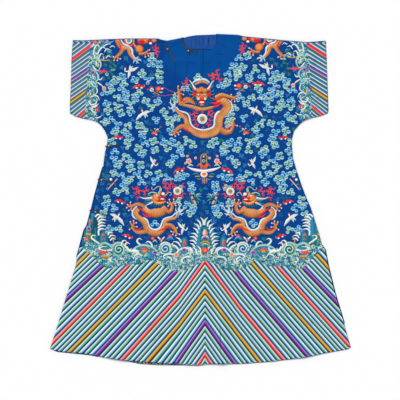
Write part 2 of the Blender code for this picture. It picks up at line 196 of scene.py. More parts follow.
# The largest folds of the front, as the frame has them.
FOLDS = table_of(
    Fold, (83, -470, 86, -690, 26, 7), (-85, -390, -200, -500, 34, 5), (-200, -500, -330, -660, 38, 4),
    (275, -350, 345, -450, 32, 5), (345, -450, 430, -640, 40, 4), (0, -250, -20, -570, 44, 4),
    (-285, 290, -190, 375, 28, 5), (330, 205, 225, 325, 32, 6), (430, 355, 330, 480, 30, 5),
    (-450, 370, -400, 520, 30, 5), (-10, 545, -14, 430, 26, 3), (-120, 150, -200, -70, 42, 4),
    (130, 130, 215, -100, 42, 4), (-425, -140, -500, -390, 30, 5), (440, -170, 520, -430, 30, 5),
    (130, 600, 270, 555, 28, 3), (-330, 590, -250, 520, 28, 3), (60, 330, 90, 180, 36, 3),
)
# Finer creases pressed and worn into the silk.
CREASES = table_of(
    Fold, (-62, 590, -24, 588, 7, 1.1), (-103, 567, -22, 571, 9, 1.6), (-2, 600, -1, 470, 8, 1.4),
    (-58, 560, -70, 470, 11, 0.9), (30, 575, 95, 520, 12, 1.2), (95, 640, 150, 610, 10, 1.3),
    (-146, 560, -150, 500, 7, 1.2), (-30, 520, -75, 455, 10, 0.8), (60, 600, 74, 555, 9, 1),
    (-120, 470, -235, 430, 9, 1.5), (-180, 420, -290, 370, 11, 1.2), (-250, 395, -330, 330, 10, 1.7),
    (-210, 300, -330, 240, 13, 1.1), (-330, 170, -250, 60, 12, 1.2), (-370, 90, -330, -30, 11, 1.4),
    (-410, 20, -395, -110, 10, 1.2), (-440, -60, -380, -150, 12, 0.9), (240, 400, 350, 330, 12, 1.4),
    (290, 300, 365, 255, 10, 1.8), (190, 430, 260, 400, 11, 0.9), (360, 200, 300, 100, 12, 1.3),
    (398, 90, 350, -20, 11, 1), (430, 10, 410, -120, 10, 1.4), (455, -60, 400, -160, 13, 0.9),
    (-60, 60, 20, 30, 14, 0.9), (90, 70, 150, 10, 12, 1), (-170, -120, -100, -210, 14, 1),
    (170, -140, 230, -250, 13, 1.2), (-300, -260, -240, -380, 14, 1.4), (-390, -300, -330, -420, 12, 1.6),
    (-500, -420, -430, -560, 12, 1.3), (-560, -540, -500, -620, 11, 1.1), (-330, -480, -260, -640, 13, 1.2),
    (-150, -540, -110, -668, 12, 1.7), (-60, -600, -48, -676, 10, 1.4), (50, -560, 44, -676, 9, 1.6),
    (84, -430, 140, -520, 12, 1.2), (160, -570, 190, -668, 12, 1.3), (260, -540, 300, -660, 13, 1.5),
    (380, -480, 440, -600, 12, 1.2), (470, -420, 540, -560, 12, 1.5), (560, -520, 590, -600, 10, 1.2),
    (330, -280, 400, -360, 13, 1.2), (210, -330, 250, -430, 12, 1), (410, 620, 395, 520, 10, 1.3),
    (460, 600, 450, 470, 9, 1.4), (340, 610, 300, 500, 12, 1.1), (480, 420, 420, 380, 10, 1.3),
    (250, 620, 180, 520, 13, 1), (-400, 610, -420, 500, 10, 1.3), (-470, 600, -460, 460, 9, 1.5),
    (-350, 520, -300, 440, 12, 1.2), (-500, 450, -440, 400, 10, 1.2), (-230, 620, -200, 540, 10, 1.1),
    (-420, 380, -360, 340, 9, 1.4),
)

# Painted shade and painted highlight of the creases: thin dark lines painted where the silk is pressed in and
# shade falls, light ones where light falls on its ridges: ends and width in squares, and how much darker or
# lighter the middle is painted.
PAINTED_CREASE_MARKS = table_of(
    Mark, (185.4, 54.1, 192.8, 55.2, 2.1, 0.37), (192.6, 55.2, 201, 53.4, 1.5, 0.63),
    (200, 63, 214, 62.4, 1.8, 0.67), (213, 62.4, 226, 63.6, 1.7, 0.72), (184, 62.8, 200, 63.6, 1.7, 0.74),
    (212, 53.2, 228, 55.4, 2.1, 0.67), (204, 52.6, 214, 54.4, 2.5, 1.16), (186, 56.6, 196, 57.2, 2.2, 1.1),
    (158, 40.8, 168, 43.4, 2.5, 0.48), (160, 47, 171, 44.2, 1.8, 0.53), (170, 44.4, 180, 42.8, 1.5, 0.62),
    (159, 50, 167, 48.4, 1.7, 0.6), (168, 42.4, 179, 40.4, 2, 1.22), (163, 53, 168, 51.2, 1.8, 0.7),
    (207.7, 46.4, 208.8, 36, 2.1, 0.35), (212.8, 35, 212.9, 41, 1.7, 0.44),
    (210.2, 46.6, 214.6, 38, 3.6, 1.24), (195.9, 36, 195.4, 49, 1.3, 0.62),
    (197.8, 37, 197.4, 49.6, 1.1, 0.72), (199.6, 36, 199.3, 49, 1.3, 0.6),
    (201.7, 37, 201.9, 48.6, 1.2, 0.68), (203.9, 37.6, 203.6, 48, 1.2, 0.7),
    (190.3, 40, 190.8, 51, 1.4, 0.74), (187, 41, 187.4, 50, 1.2, 0.8), (206, 38, 205.4, 46, 1.3, 1.3),
    (193.4, 40, 193.2, 49, 1.5, 1.25), (176, 57, 174.4, 84, 3.1, 0.79), (186.4, 58, 187, 80, 2.5, 0.82),
    (212, 57, 214, 80, 3.4, 1.08), (219, 42, 229, 50, 2.5, 0.79), (224, 39, 232, 44, 2.2, 1.08),
    (107, 83.2, 125, 84.6, 2.5, 0.48), (123, 84.6, 132, 88.4, 2.2, 0.6), (145, 87.6, 157, 92, 2.4, 0.55),
    (112, 72.4, 125, 70.6, 2.1, 0.67), (252, 96, 262, 93, 2.2, 0.62), (268, 86, 284, 82, 2.2, 0.65),
    (166.6, 296, 176.2, 290, 2.8, 0.48), (160, 301.6, 168, 296.4, 3.1, 0.67),
    (133.6, 336.4, 141.4, 330.4, 2.8, 0.44), (127, 341, 134.6, 336, 3.4, 0.65),
    (145, 326.8, 152.6, 320.4, 3.4, 0.63), (156.6, 338.4, 164.2, 330.4, 3.1, 0.49),
    (150, 342, 157, 337.8, 3.1, 0.67), (220.1, 314, 220.4, 366, 1.7, 0.44),
    (221.8, 316, 222.2, 366, 2.1, 1.25), (267.8, 291, 272.4, 296, 2.4, 0.48),
    (270, 304, 287, 311.6, 3.1, 0.62), (275, 298, 283, 305, 2.8, 0.67), (235, 288.6, 240.6, 298, 3.1, 0.67),
    (255.6, 324, 265, 332, 3.1, 0.63), (280.6, 307, 289, 316, 2.7, 0.67), (308, 318, 314, 327, 2.8, 0.69),
    (100, 312, 112, 304, 3.1, 0.7), (188, 330, 196, 318, 2.8, 0.69),
)
MARK_LEVELS = (0.0012, 0.0024)  # metres over the table from and to which the painted crease shade comes in
PLAIN_MIDDLE = (200.0, 38.0)  # of the disc round the neck that has no embroidery, in squares
PLAIN_RADIUS = 43.0
PLAIN_LEFT = 164.5  # the disc is cut off straight here
PLAIN_FOOT = 89.0  # level down to which the silk beside the left collar stays bare

# The lining that shows in the neck.
LINING_INSET = 0.0012
LINING_WALL = 0.0010
LINING_TOP_INSET = 0.004
LINING_COLUMNS = 110
LINING_ROWS = 22
GATHERS = table_of(
    Fold, (-42, 612, -40, 668, 5, 1.6), (-22, 600, -20, 668, 4, 2.6), (-9, 605, -8, 670, 4, 2.2),
    (4, 612, 6, 672, 4, 2.8), (27, 632, 31, 672, 5, 3.6), (46, 640, 50, 674, 5, 2),
)
FINE_GATHERS = table_of(
    Fold, (-52, 618, -53, 660, 2.2, 0.7), (-32, 606, -31, 664, 2, 0.9), (-15, 604, -14, 668, 1.8, 0.8),
    (-2, 606, -1, 670, 1.9, 1), (12, 614, 13, 672, 2, 0.8), (19, 622, 22, 674, 2.2, 0.9),
    (37, 630, 40, 674, 2, 0.8), (55, 640, 57, 676, 2.2, 0.6),
)

# Bindings: how much of them shows past the front, how much more than a gap they lie off the edge, and from
# and to which level or place they run.
BINDING_WIDTH = 0.004
BINDING_CLEAR = 0.0001
RIGHT_BINDING_SPAN = (-0.236, 0.136)
LEFT_BINDING_SPAN = (-0.506, -0.186)
HEM_BINDING_SPAN = (-0.600, -0.420)

# Toggles: ball, line of the loop and end of the strap, in mm.
TOGGLES = [
    Toggle((-50, 610), [(-61, 622), (-67, 633), (-72, 645), (-73, 656)], (-2, 609)),
    Toggle((-135, 617), [(-141, 630), (-147, 642)], (-103, 566)),
    Toggle((-375, 221), [(-386, 219)], (-331, 225)),
    Toggle((-405, 81), [(-417, 83)], (-352, 71)),
    Toggle((-430, -50), [(-450, -44)], (-381, -65)),
]
EYE_RADIUS = 0.0044  # of the loop's eye round the ball
LAYERS_ON_RIGHT = 3
FIRST_SIDE_TOGGLE = 3  # from this one on, the loop's end drops over the edge
DROP = 0.0042
LOW_END = 0.0017
# On the way down over the edge: share of the way out and of the height.
OVER_THE_EDGE = ((0.6, 0.97), (0.9, 0.7), (1.0, 0.0))
CORD_STEP = 0.0006  # between cross sections of a cord
CORD_STRANDS, CORD_SPOKES = 3, 15
BALL_SHARE, BOSS_TOP = 0.955, 0.99  # of the ball's radius: between its flutes, and at the boss's top

# Floss colours, sRGB, with what each is used for.
FLOSS = {
    "cream": ("#f3ead2", "Foam, cranes' bodies and cloud rims"),
    "white": ("#ffffff", "Dragons' spines and horns"),
    "pale": ("#c8e0cc", "Light of the green stripes"),
    "mint": ("#a3d4b8", "Light of the green clouds"),
    "leaf": ("#5cae94", "Middle green"),
    "teal": ("#1c898c", "Deep blue-green"),
    "pine": ("#054b52", "Darkest green"),
    "ice": ("#cbe2ea", "Light of the blue stripes"),
    "aqua": ("#8ac6be", "Middle of the green clouds"),
    "frost": ("#dcece4", "Rims of the green clouds"),
    "sky": ("#63b8e0", "Light blue"),
    "azure": ("#1d85bb", "Middle blue"),
    "cobalt": ("#085fa2", "Deep blue"),
    "ink": ("#101f70", "Darkest blue"),
    "navy": ("#0b2a5c", "Grooves between the stripes"),
    "brown": ("#4a3208", "Grooves of the gold stripes"),
    "orange": ("#ec9149", "Dragons' bodies"),
    "amber": ("#bf672b", "Dragons' shaded scales"),
    "peach": ("#f4b075", "Dragons' lit scales and claws"),
    "rose": ("#f79a90", "Light of the red stripes"),
    "coral": ("#fb584c", "Flames and corals"),
    "scarlet": ("#e8262e", "Bats, mouths and bellies"),
    "wine": ("#941a2c", "Darkest red"),
    "gold": ("#e3ae28", "Gold stripes and lozenges"),
    "bronze": ("#8a5a10", "Shade of the gold stripes"),
    "lilac": ("#cf9bd8", "Light purple"),
    "purple": ("#7c3aa6", "Middle purple"),
    "plum": ("#421068", "Darkest purple"),
    "grey": ("#b9c4cc", "Shaded feathers"),
    "black": ("#14141c", "Pupils and beaks"),
}


def linear(hex_colour):
    """Linear red, green and blue of an sRGB hex colour."""
    value = int(hex_colour[1:], 16)
    srgb = np.array([value >> 16, value >> 8 & 255, value & 255]) / 255.0
    return np.where(srgb <= 0.04045, srgb / 12.92, ((srgb + 0.055) / 1.055) ** 2.4)


def thread(name):
    """A floss colour as it is set in the panel."""
    return np.array(getattr(bpy.context.scene.robe_floss, name))


# ---- The cloth's form ----


def soft_step(t):
    """0 to 1 along an S-shaped cubic, level at both ends."""
    t = np.clip(t, 0.0, 1.0)
    return t * t * (3.0 - 2.0 * t)


def across(table, x):
    """Level of a shoulder or hem line at x."""
    return np.interp(x, [r.x * MM for r in table], [r.y * MM for r in table])


def beside(table, y):
    """Place of a side edge at level y."""
    rows = sorted(table, key=lambda row: row.y)
    return np.interp(y, [r.y * MM for r in rows], [r.x * MM for r in rows])


def seam(y):
    """The straight centre seam."""
    share = (y - SEAM_FOOT[1]) / (SEAM_TOP[1] - SEAM_FOOT[1])
    return SEAM_FOOT[0] + (SEAM_TOP[0] - SEAM_FOOT[0]) * share


def ridges(table, x, y):
    """Height of the soft ridges at x, y: each falls off as a bell curve with distance from its line."""
    total = np.zeros(np.broadcast(x, y).shape)
    for fold in table:
        x1, y1, x2, y2, width, height = (value * MM for value in fold)
        run_x, run_y = x2 - x1, y2 - y1
        along = ((x - x1) * run_x + (y - y1) * run_y) / (run_x**2 + run_y**2)
        along = np.clip(along, 0.0, 1.0)
        off = np.hypot(x - x1 - along * run_x, y - y1 - along * run_y)
        total = total + height * np.exp(-((off / width) ** 2))
    return total


def drape(x, y):
    """Folds and finer creases of the front together."""
    fine = bpy.context.scene.robe_cloth.crease_share
    return ridges(FOLDS, x, y) + fine * ridges(CREASES, x, y)


def left_front_lift(x, y):
    """Underside of the left front above the back: it steps up to the overlap at the centre seam."""
    step = (WALL + GAP) * soft_step(1.0 - (x - seam(y)) / SEAM_REACH)
    below = across(SHOULDER, x) - y
    rise = (FOLD_SPACE - GAP) * soft_step(1.0 - below / FOLD_REACH)
    return GAP + step + rise + drape(x, y) * soft_step(below / SHOULDER_FADE)


def right_front_lift(x, y):
    """Underside of the inner front above the back: it has folds only where the overlap leaves it bare."""
    below = across(SHOULDER, x) - y
    rise = (FOLD_SPACE - GAP) * soft_step(1.0 - below / FOLD_REACH)
    clear = beside(OVERLAP_EDGE, y) - OPEN_EDGE_MARGIN - x
    above = y - OVERLAP_EDGE[-1].y * MM - OPEN_EDGE_MARGIN
    seen_share = soft_step(clear / OPEN_EDGE_FADE) * soft_step(above / OPEN_EDGE_FADE)
    return GAP + rise + seen_share * drape(x, y) * soft_step(below / SHOULDER_FADE)


def overlap_lift(x, y):
    """Underside of the overlap above the back."""
    below = across(SHOULDER, x) - y
    return 2 * GAP + WALL + drape(x, y) * soft_step((below - FOLD_REACH) / SHOULDER_FADE)


def levels(longest_row, *tables):
    """Levels of the cross sections, from hem to shoulder: the tables' own and enough between them."""
    known = sorted({row.y * MM for table in tables for row in table})
    kept = [known[0]]
    for level in known[1:]:
        parts = max(1, int(np.ceil((level - kept[-1]) / longest_row)))
        start = kept[-1]
        kept += [start + (level - start) * part / parts for part in range(1, parts + 1)]
    return np.array(kept)


def section_points(level, top_level, seam_x, neck_x, edge_x, hem):
    """One cross section's x and y: grid lines from seam to neck side to edge, bent to hem and shoulder."""
    inner = np.linspace(seam_x, neck_x, NECK_COLUMNS + 1)
    outer = np.linspace(neck_x, edge_x, BODY_COLUMNS + 1)[1:]
    x = np.concatenate([inner, outer])
    to_top = soft_step(1.0 - (top_level - level) / SHOULDER_BLEND)
    if hem is FRONT_HEM:
        to_top = to_top * soft_step((np.abs(x - seam_x) - abs(neck_x - seam_x)) / NECK_SIDE_BLEND)
    to_hem = soft_step(1.0 - (level - HEM_LEVEL) / HEM_BLEND)
    bend = (across(SHOULDER, x) - top_level) * to_top + (across(hem, x) - HEM_LEVEL) * to_hem
    return x, level + bend


def neck_line(level, neck_side, seam_x, edge_x):
    """Where the grid line of the neck's side runs: at the neck's side, and evenly placed further down."""
    even = seam_x + (edge_x - seam_x) * NECK_COLUMNS / (NECK_COLUMNS + BODY_COLUMNS)
    drop = soft_step((SEAM_TOP[1] - level) / NECK_BLEND)
    return neck_side * (1.0 - drop) + even * drop


def cells_kept(neck_open):
    """Which cells of a length's or the overlap's grid hold cloth: all but those in the neck."""
    open_rows = np.array(neck_open)
    kept = np.ones((len(open_rows) - 1, NECK_COLUMNS + BODY_COLUMNS), bool)
    kept[open_rows[:-1] | open_rows[1:], :NECK_COLUMNS] = False
    return kept


def stack(x, y, z):
    """Points from their three coordinates."""
    return np.stack([x, y, z], -1)


PIECES = {}  # every piece by its name


def piece(name, points, faces, material, replaced=()):
    """A smooth mesh object of these points and triangles, riding on the robe, with its material's slot."""
    mesh = bpy.data.meshes.new(name)
    mesh.vertices.add(len(points))
    mesh.vertices.foreach_set("co", np.asarray(points, np.float32).ravel())
    mesh.loops.add(faces.size)
    mesh.loops.foreach_set("vertex_index", faces.astype(np.int32).ravel())
    mesh.polygons.add(len(faces))
    mesh.polygons.foreach_set("loop_start", np.arange(0, faces.size, faces.shape[1], dtype=np.int32))
    mesh.update(calc_edges=True)
    mesh.shade_smooth()
    mesh.materials.append(material)
    made = bpy.data.objects.new(name, mesh)
    bpy.context.scene.collection.objects.link(made)
    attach(made, "root")
    if replaced:
        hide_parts(*replaced)
    PIECES[name] = made
    return made


def outwards(points, faces):
    """The points and faces of a closed surface, the faces turned round if they point in."""
    return points, faces[:, ::-1] if np.linalg.det(points[faces]).sum() < 0 else faces


def shell(name, outside, inside, kept, material, replaced):
    """A closed wall between two grids of points, (rows, columns, 3), with faces only where kept is true."""
    outside, inside = np.array(outside), np.array(inside)
    rows, columns = kept.shape
    index = np.arange((rows + 1) * (columns + 1)).reshape(rows + 1, columns + 1)
    shift = index.size
    a, b = index[:-1, :-1][kept], index[:-1, 1:][kept]
    c, d = index[1:, 1:][kept], index[1:, :-1][kept]
    upper = np.concatenate([np.stack([a, b, c], 1), np.stack([a, c, d], 1)])
    lower = upper[:, ::-1] + shift
    padded = np.pad(kept, 1)
    own = padded[1:-1, 1:-1]
    strips = []
    for neighbour, first, second in (
        (padded[:-2, 1:-1], index[:-1, :-1], index[:-1, 1:]),
        (padded[1:-1, 2:], index[:-1, 1:], index[1:, 1:]),
        (padded[2:, 1:-1], index[1:, 1:], index[1:, :-1]),
        (padded[1:-1, :-2], index[1:, :-1], index[:-1, :-1]),
    ):
        open_side = own & ~neighbour
        p, q = first[open_side], second[open_side]
        strips += [np.stack([q, p, p + shift], 1), np.stack([q, p + shift, q + shift], 1)]
    used, faces = np.unique(np.concatenate([upper, lower, *strips]), return_inverse=True)
    points = np.concatenate([outside.reshape(-1, 3), inside.reshape(-1, 3)])[used]
    return piece(name, *outwards(points, faces.reshape(-1, 3)), material, replaced)


def length(name, side, edge, neck, lift, material, front_row, hidden_row, replaced):
    """A length of silk: back from the hem up, round the shoulder fold, and front down to the hem.

    side is -1 for the wearer's right and 1 for the left. Rows lie front_row apart in the front, or hidden_row
    where the overlap covers it, and twice front_row apart in the back, whose face hangs over its embroidery.
    """
    top = edge[0].y * MM
    shift = side * SEAM_GAP / 2
    outside, inside, neck_open = [], [], []
    middle = WALL + FOLD_SPACE / 2
    bend = (WALL + FOLD_SPACE) / 2

    for level in levels(2 * front_row, edge):
        edge_x = beside(edge, level)
        neck_x = neck_line(level, neck[-1].x * MM, seam(level), edge_x)
        x, y = section_points(level, top, seam(level) + shift, neck_x, edge_x, BACK_HEM)
        y = np.minimum(y, across(SHOULDER, x) - bend - WALL / 2)
        outside.append(stack(x, y, underside(x, y)))
        inside.append(stack(x, y, np.full_like(x, WALL)))
        neck_open.append(False)

    x = outside[-1][:, 0]
    centre = across(SHOULDER, x) - bend - WALL / 2
    for angle in FOLD_ANGLES:
        for grid, radius in ((outside, bend + WALL / 2), (inside, bend - WALL / 2)):
            level_z = np.full_like(x, middle + radius * np.sin(angle))
            grid.append(stack(x, centre + radius * np.cos(angle), level_z))
        neck_open.append(True)

    rows = levels(front_row, edge, neck)
    if hidden_row > front_row:
        low = levels(hidden_row, edge, neck)
        limit = OVERLAP_EDGE[-1].y * MM
        rows = np.concatenate([low[low < limit], rows[rows >= limit]])
    for level in rows[::-1]:
        edge_x = beside(edge, level)
        if side < 0 and level < OVERLAP_EDGE[-1].y * MM:
            edge_x = edge_x + HIDDEN_INSET
        neck_x = neck_line(level, beside(neck, level), seam(level), edge_x)
        x, y = section_points(level, top, seam(level) + shift, neck_x, edge_x, FRONT_HEM)
        y = np.minimum(y, across(SHOULDER, x) - bend - WALL / 2)
        below = WALL + lift(x, y)
        outside.append(stack(x, y, below + WALL))
        inside.append(stack(x, y, below))
        neck_open.append(level > SEAM_TOP[1])
    return shell(name, outside, inside, cells_kept(neck_open), material, replaced)


def overlap(material, row_space):
    """The outer front, from its curved edge to the centre seam, lying on the inner front."""
    top = RIGHT_EDGE[0].y * MM
    neck = [row for row in RIGHT_NECK if row.y <= OVERLAP_EDGE[0].y]
    outside, inside, neck_open = [], [], []
    for level in levels(row_space, OUTER_RIGHT_EDGE, neck):
        edge_x = beside(OUTER_RIGHT_EDGE, level)
        neck_x = neck_line(level, beside(RIGHT_NECK, level), seam(level), edge_x)
        x, y = section_points(level, top, seam(level) - SEAM_GAP / 2, neck_x, edge_x, FRONT_HEM)
        below = WALL + overlap_lift(x, y)
        outside.append(stack(x, y, below + WALL))
        inside.append(stack(x, y, below))
        neck_open.append(level > SEAM_TOP[1])
    return shell("overlap_silk", outside, inside, cells_kept(neck_open), material, ["overlap_front"])


def lining(material):
    """The gathered lining in the neck: a thin wall over the back, raised by the gathers."""
    low = SEAM_TOP[1] + LINING_INSET
    high = RIGHT_EDGE[0].y * MM - LINING_TOP_INSET
    extra = (LEFT_EDGE[0].y - RIGHT_EDGE[0].y) * MM
    outside, inside = [], []
    for level in np.linspace(low, high, LINING_ROWS + 1):
        rise = extra * soft_step((level - low) / (high - low))
        left = beside(RIGHT_NECK, level) + LINING_INSET
        right = beside(LEFT_NECK, level + rise) - LINING_INSET
        x = np.linspace(left, right, LINING_COLUMNS + 1)
        y = level + rise * soft_step((x - left) / (right - left))
        below = WALL + GAP + ridges(GATHERS + FINE_GATHERS, x, y)
        outside.append(stack(x, y, below + LINING_WALL))
        inside.append(stack(x, y, below))
    kept = np.ones((LINING_ROWS, LINING_COLUMNS), bool)
    return shell("neck_lining_silk", outside, inside, kept, material, ["neck_lining"])


def underside(x, y):
    """Level of the back's outer face: it lies over its embroidery and meets the table at the shoulder."""
    return UNDERSIDE * soft_step((across(SHOULDER, x) - y - BACK_TOP / 3) / (BACK_TOP * 2 / 3))


def cloth_face(zone, x, y):
    """Level of the face that embroidery is sewn to: outer front, bare inner front, the back's underside, or
    the back's upper face where it shows past the front hem."""
    if zone == "back":
        return underside(x, y)
    if zone == "hem":
        return np.full(np.shape(x), WALL)
    if zone == "inner":
        return 2 * WALL + right_front_lift(x, y)
    on_left = x > seam(y)
    return 2 * WALL + np.where(on_left, left_front_lift(x, y), overlap_lift(x, y))


def to_side(table, side, x, y):
    """Points beyond a side edge, moved onto it at right angles, and which they were."""
    gone = np.zeros(x.shape, bool)
    for _ in range(2):
        past = (x - beside(table, y)) * side
        slope = (beside(table, y + MM) - beside(table, y - MM)) / (2 * MM)
        out = past > 0
        gone |= out
        move = np.where(out, past * side / (1.0 + slope**2), 0.0)
        x, y = x - move, y + move * slope
    past = (x - beside(table, y)) * side
    return np.where(past > 0, beside(table, y), x), y, gone


def held_inside(zone, x, y):
    """Points of an embroidered shape, those outside the zone moved to its rim, and which they were."""
    if zone == "hem":
        top, hem = across(FRONT_HEM, x) - GAP, across(BACK_HEM, x) + GAP
        gone = (y > top) | (y < hem) | (top < hem + MM)
        return x, np.clip(y, hem, np.maximum(top, hem)), gone
    if zone == "inner":
        x, y, gone = to_side(OVERLAP_EDGE, 1, x, y)
        low = y < OVERLAP_EDGE[-1].y * MM
        gone |= low
    else:
        x, y, gone = to_side(OUTER_RIGHT_EDGE if zone == "outer" else RIGHT_EDGE, -1, x, y)
    if zone == "inner":
        x, y, more = to_side(RIGHT_EDGE, -1, x, y)
    else:
        x, y, more = to_side(LEFT_EDGE, 1, x, y)
    gone |= more
    top = across(SHOULDER, x) - (BACK_TOP if zone == "back" else RIM)
    hem = across(BACK_HEM if zone == "back" else FRONT_HEM, x) + GAP
    gone |= (y > top) | (y < hem)
    return x, np.clip(y, hem, top), gone


def binding(name, edge, out, material):
    """A narrow strip outside an edge, flat below and rounded above, as a folded binding lies."""
    t = np.linspace(0.0, 1.0, 7)[:, None]
    reach = (GAP + BINDING_CLEAR) + (BINDING_WIDTH - GAP - BINDING_CLEAR) * t
    low = edge[None] + reach[..., None] * np.array([*out, 0.0])
    high = low + np.array([0.0, 0.0, 1.0]) * (WALL * (0.45 + 0.55 * np.sqrt(1 - (2 * t - 1) ** 2)))[..., None]
    kept = np.ones((6, edge.shape[0] - 1), bool)
    return shell(f"{name}_silk", high, low, kept, material, [name])


# ---- Embroidered shapes, set out in squares with a height in millimetres ----


def grid_shape(points, heights, colours, stitches, closed=False, middle=False):
    """Triangles over a grid, (rows, columns, ...). closed joins the last column to the first, and middle
    makes the first row one point."""
    rows, columns = heights.shape
    index = np.arange(rows * columns).reshape(rows, columns)
    if middle:
        index[0] = 0
        index[1:] -= columns - 1
    if closed:
        index = np.concatenate([index, index[:, :1]], 1)
    a, b = index[:-1, :-1].ravel(), index[:-1, 1:].ravel()
    c, d = index[1:, 1:].ravel(), index[1:, :-1].ravel()
    faces = np.concatenate([np.stack([a, c, d], 1), np.stack([a, b, c], 1)])
    faces = faces[(faces[:, 0] != faces[:, 1]) & (faces[:, 1] != faces[:, 2])]
    keep = slice(columns - 1, None) if middle else slice(None)
    flat = [np.reshape(part, (rows * columns, -1))[keep] for part in (points, heights, colours, stitches)]
    return Shape(flat[0], flat[1][:, 0], flat[2], flat[3], faces)


def join(shapes):
    """Many shapes as one."""
    shapes = list(shapes)
    counts = np.cumsum([0] + [len(shape.points) for shape in shapes])
    faces = [shape.faces + start for shape, start in zip(shapes, counts)]
    parts = [np.concatenate([shape[k] for shape in shapes]) for k in range(4)]
    return Shape(*parts, np.concatenate(faces))


def turned(px, py, degrees, x=0.0, y=0.0):
    """Points turned clockwise about the origin and then moved by x, y."""
    c, s = np.cos(np.radians(degrees)), np.sin(np.radians(degrees))
    return x + c * px - s * py, y + s * px + c * py


def put(shape, x=0.0, y=0.0, turn=0.0, size=1.0, flip=False):
    """A shape mirrored left to right if flip, then scaled, turned clockwise by turn degrees and moved."""
    px, py = shape.points.T * size
    return shape._replace(points=np.stack(turned(-px if flip else px, py, turn, x, y), 1))


def raised(shape, more):
    """A shape whose padding lies this many millimetres higher, to keep clear of those it crosses."""
    return shape._replace(heights=np.where(shape.heights > 0, shape.heights + more, shape.heights))


def mirrored(shape, axis):
    """A shape mirrored left to right about a line of squares."""
    return shape._replace(points=shape.points * (-1.0, 1.0) + (2.0 * axis, 0.0))


def run_of(line):
    """How far along a line each of its points lies."""
    return np.concatenate([[0.0], np.cumsum(np.linalg.norm(np.diff(line, axis=0), axis=1))])


def curve(route, spacing=0.8):
    """A smooth line through given points: cubic pieces whose slope at each point is that between its
    neighbours, read at even steps."""
    route = np.asarray(route, float)
    if len(route) > 2:
        slope = np.gradient(route, axis=0)
        t = np.linspace(0.0, 1.0, CUBIC_STEPS + 1)[:-1, None]
        a, b = 2 * t**3 - 3 * t**2 + 1, t**3 - 2 * t**2 + t
        c, d = -2 * t**3 + 3 * t**2, t**3 - t**2
        pieces = [a * p + b * m + c * q + d * n for p, q, m, n in zip(route, route[1:], slope, slope[1:])]
        route = np.concatenate([*pieces, route[-1:]])
    run = run_of(route)
    count = max(2, int(np.ceil(run[-1] / spacing)) + 1)
    at = np.linspace(0.0, run[-1], count)
    return np.stack([np.interp(at, run, column) for column in route.T], 1)


def shades(names, share):
    """Colours at these shares, 0 to 1, of a row of floss colours that blend into each other."""
    table = np.array([thread(name) for name in names])
    stops = np.linspace(0.0, 1.0, len(names))
    return np.stack([np.interp(share, stops, table[:, k]) for k in range(3)], -1)


def ribbon(route, width, names, height=0.8, base=0.0, columns=5, spacing=0.8, scales=0.0, edge=""):
    """A band of satin stitch: across a smooth line, width squares wide (a list spreads along it), rounded to
    its height over base, its rims and ends sunk. names blend from its left to its right side, edge is the
    thread of its outline, and scales darkens rows of arcs."""
    line = curve(route, spacing)
    share = np.linspace(0.0, 1.0, len(line))
    width = np.atleast_1d(width)
    wide = np.interp(share, np.linspace(0.0, 1.0, len(width)), width)
    run = np.gradient(line, axis=0)
    run /= np.maximum(np.linalg.norm(run, axis=1, keepdims=True), 1e-9)
    ends = np.r_[0, np.arange(len(line)), len(line) - 1]
    line, run, wide = line[ends], run[ends], wide[ends]
    wide[[0, -1]] *= END_SHARE
    aside = np.stack([run[:, 1], -run[:, 0]], 1)
    t = np.concatenate([[-1.0], np.linspace(-TOP_SHARE, TOP_SHARE, columns - 2), [1.0]])
    points = line[:, None] + aside[:, None] * (t[None, :, None] * wide[:, None, None] / 2)
    heights = np.broadcast_to(base + height * np.sqrt(1.0 - 0.8 * t**2), points.shape[:2]).copy()
    heights[:, [0, -1]] = -SINK
    heights[[0, -1]] = -SINK
    colours = np.broadcast_to(shades(names, (t + 1) / 2), (*points.shape[:2], 3)).copy()
    if edge:
        colours[:, [0, -1]] = thread(edge)
    u = np.broadcast_to(run_of(line)[:, None], points.shape[:2])
    v = t[None, :] * wide[:, None] / 2
    if scales:
        arc = np.sqrt(np.clip(1.0 - ((v / scales + 0.5) % 1.0 * 2 - 1) ** 2, 0, 1)) * SCALE_ARC
        row = (u / scales + arc) % 1.0
        colours *= (1.0 - SCALE_SHADE * np.exp(-(((row - 0.5) / SCALE_RIM) ** 2)))[..., None]
    stitches = np.stack([u, v], -1) * (SQUARE / MM)
    return grid_shape(points, heights, colours, stitches)


def disc(x, y, radius, names, height=0.8, base=0.0, turn=0.0, stretch=1.0, spokes=14, edge="", lobes=0):
    """A padded round patch: rings from its middle to a sunk rim. names blend from middle to rim, edge is the
    thread of its outline, stretch widens it along its turn, and its rim swells in this many lobes."""
    rings = np.append(np.linspace(0.0, PATCH_SHARE, max(3, len(names))), 1.0)
    angle = np.linspace(0.0, 2 * np.pi, spokes, endpoint=False)
    out = radius * (1.0 - LOBE_DEPTH * (1.0 - np.abs(np.sin(lobes * angle / 2)))) if lobes else radius
    px = rings[:, None] * out * np.cos(angle) * stretch
    py = rings[:, None] * out * np.sin(angle)
    points = np.stack(turned(px, py, turn, x, y), -1)
    dome = base + height * np.sqrt(1.0 - 0.75 * rings**2)
    dome[-1] = -SINK
    heights = np.broadcast_to(dome[:, None], px.shape)
    ring_colours = shades(names, np.minimum(rings / PATCH_SHARE, 1.0))
    colours = np.broadcast_to(ring_colours[:, None], (*px.shape, 3)).copy()
    if edge:
        colours[-1] = thread(edge)
    u, v = np.broadcast_arrays(angle * radius, rings[:, None] * radius)
    stitches = np.stack([u, v], -1) * (SQUARE / MM)
    return grid_shape(points, heights, colours, stitches, closed=True, middle=True)


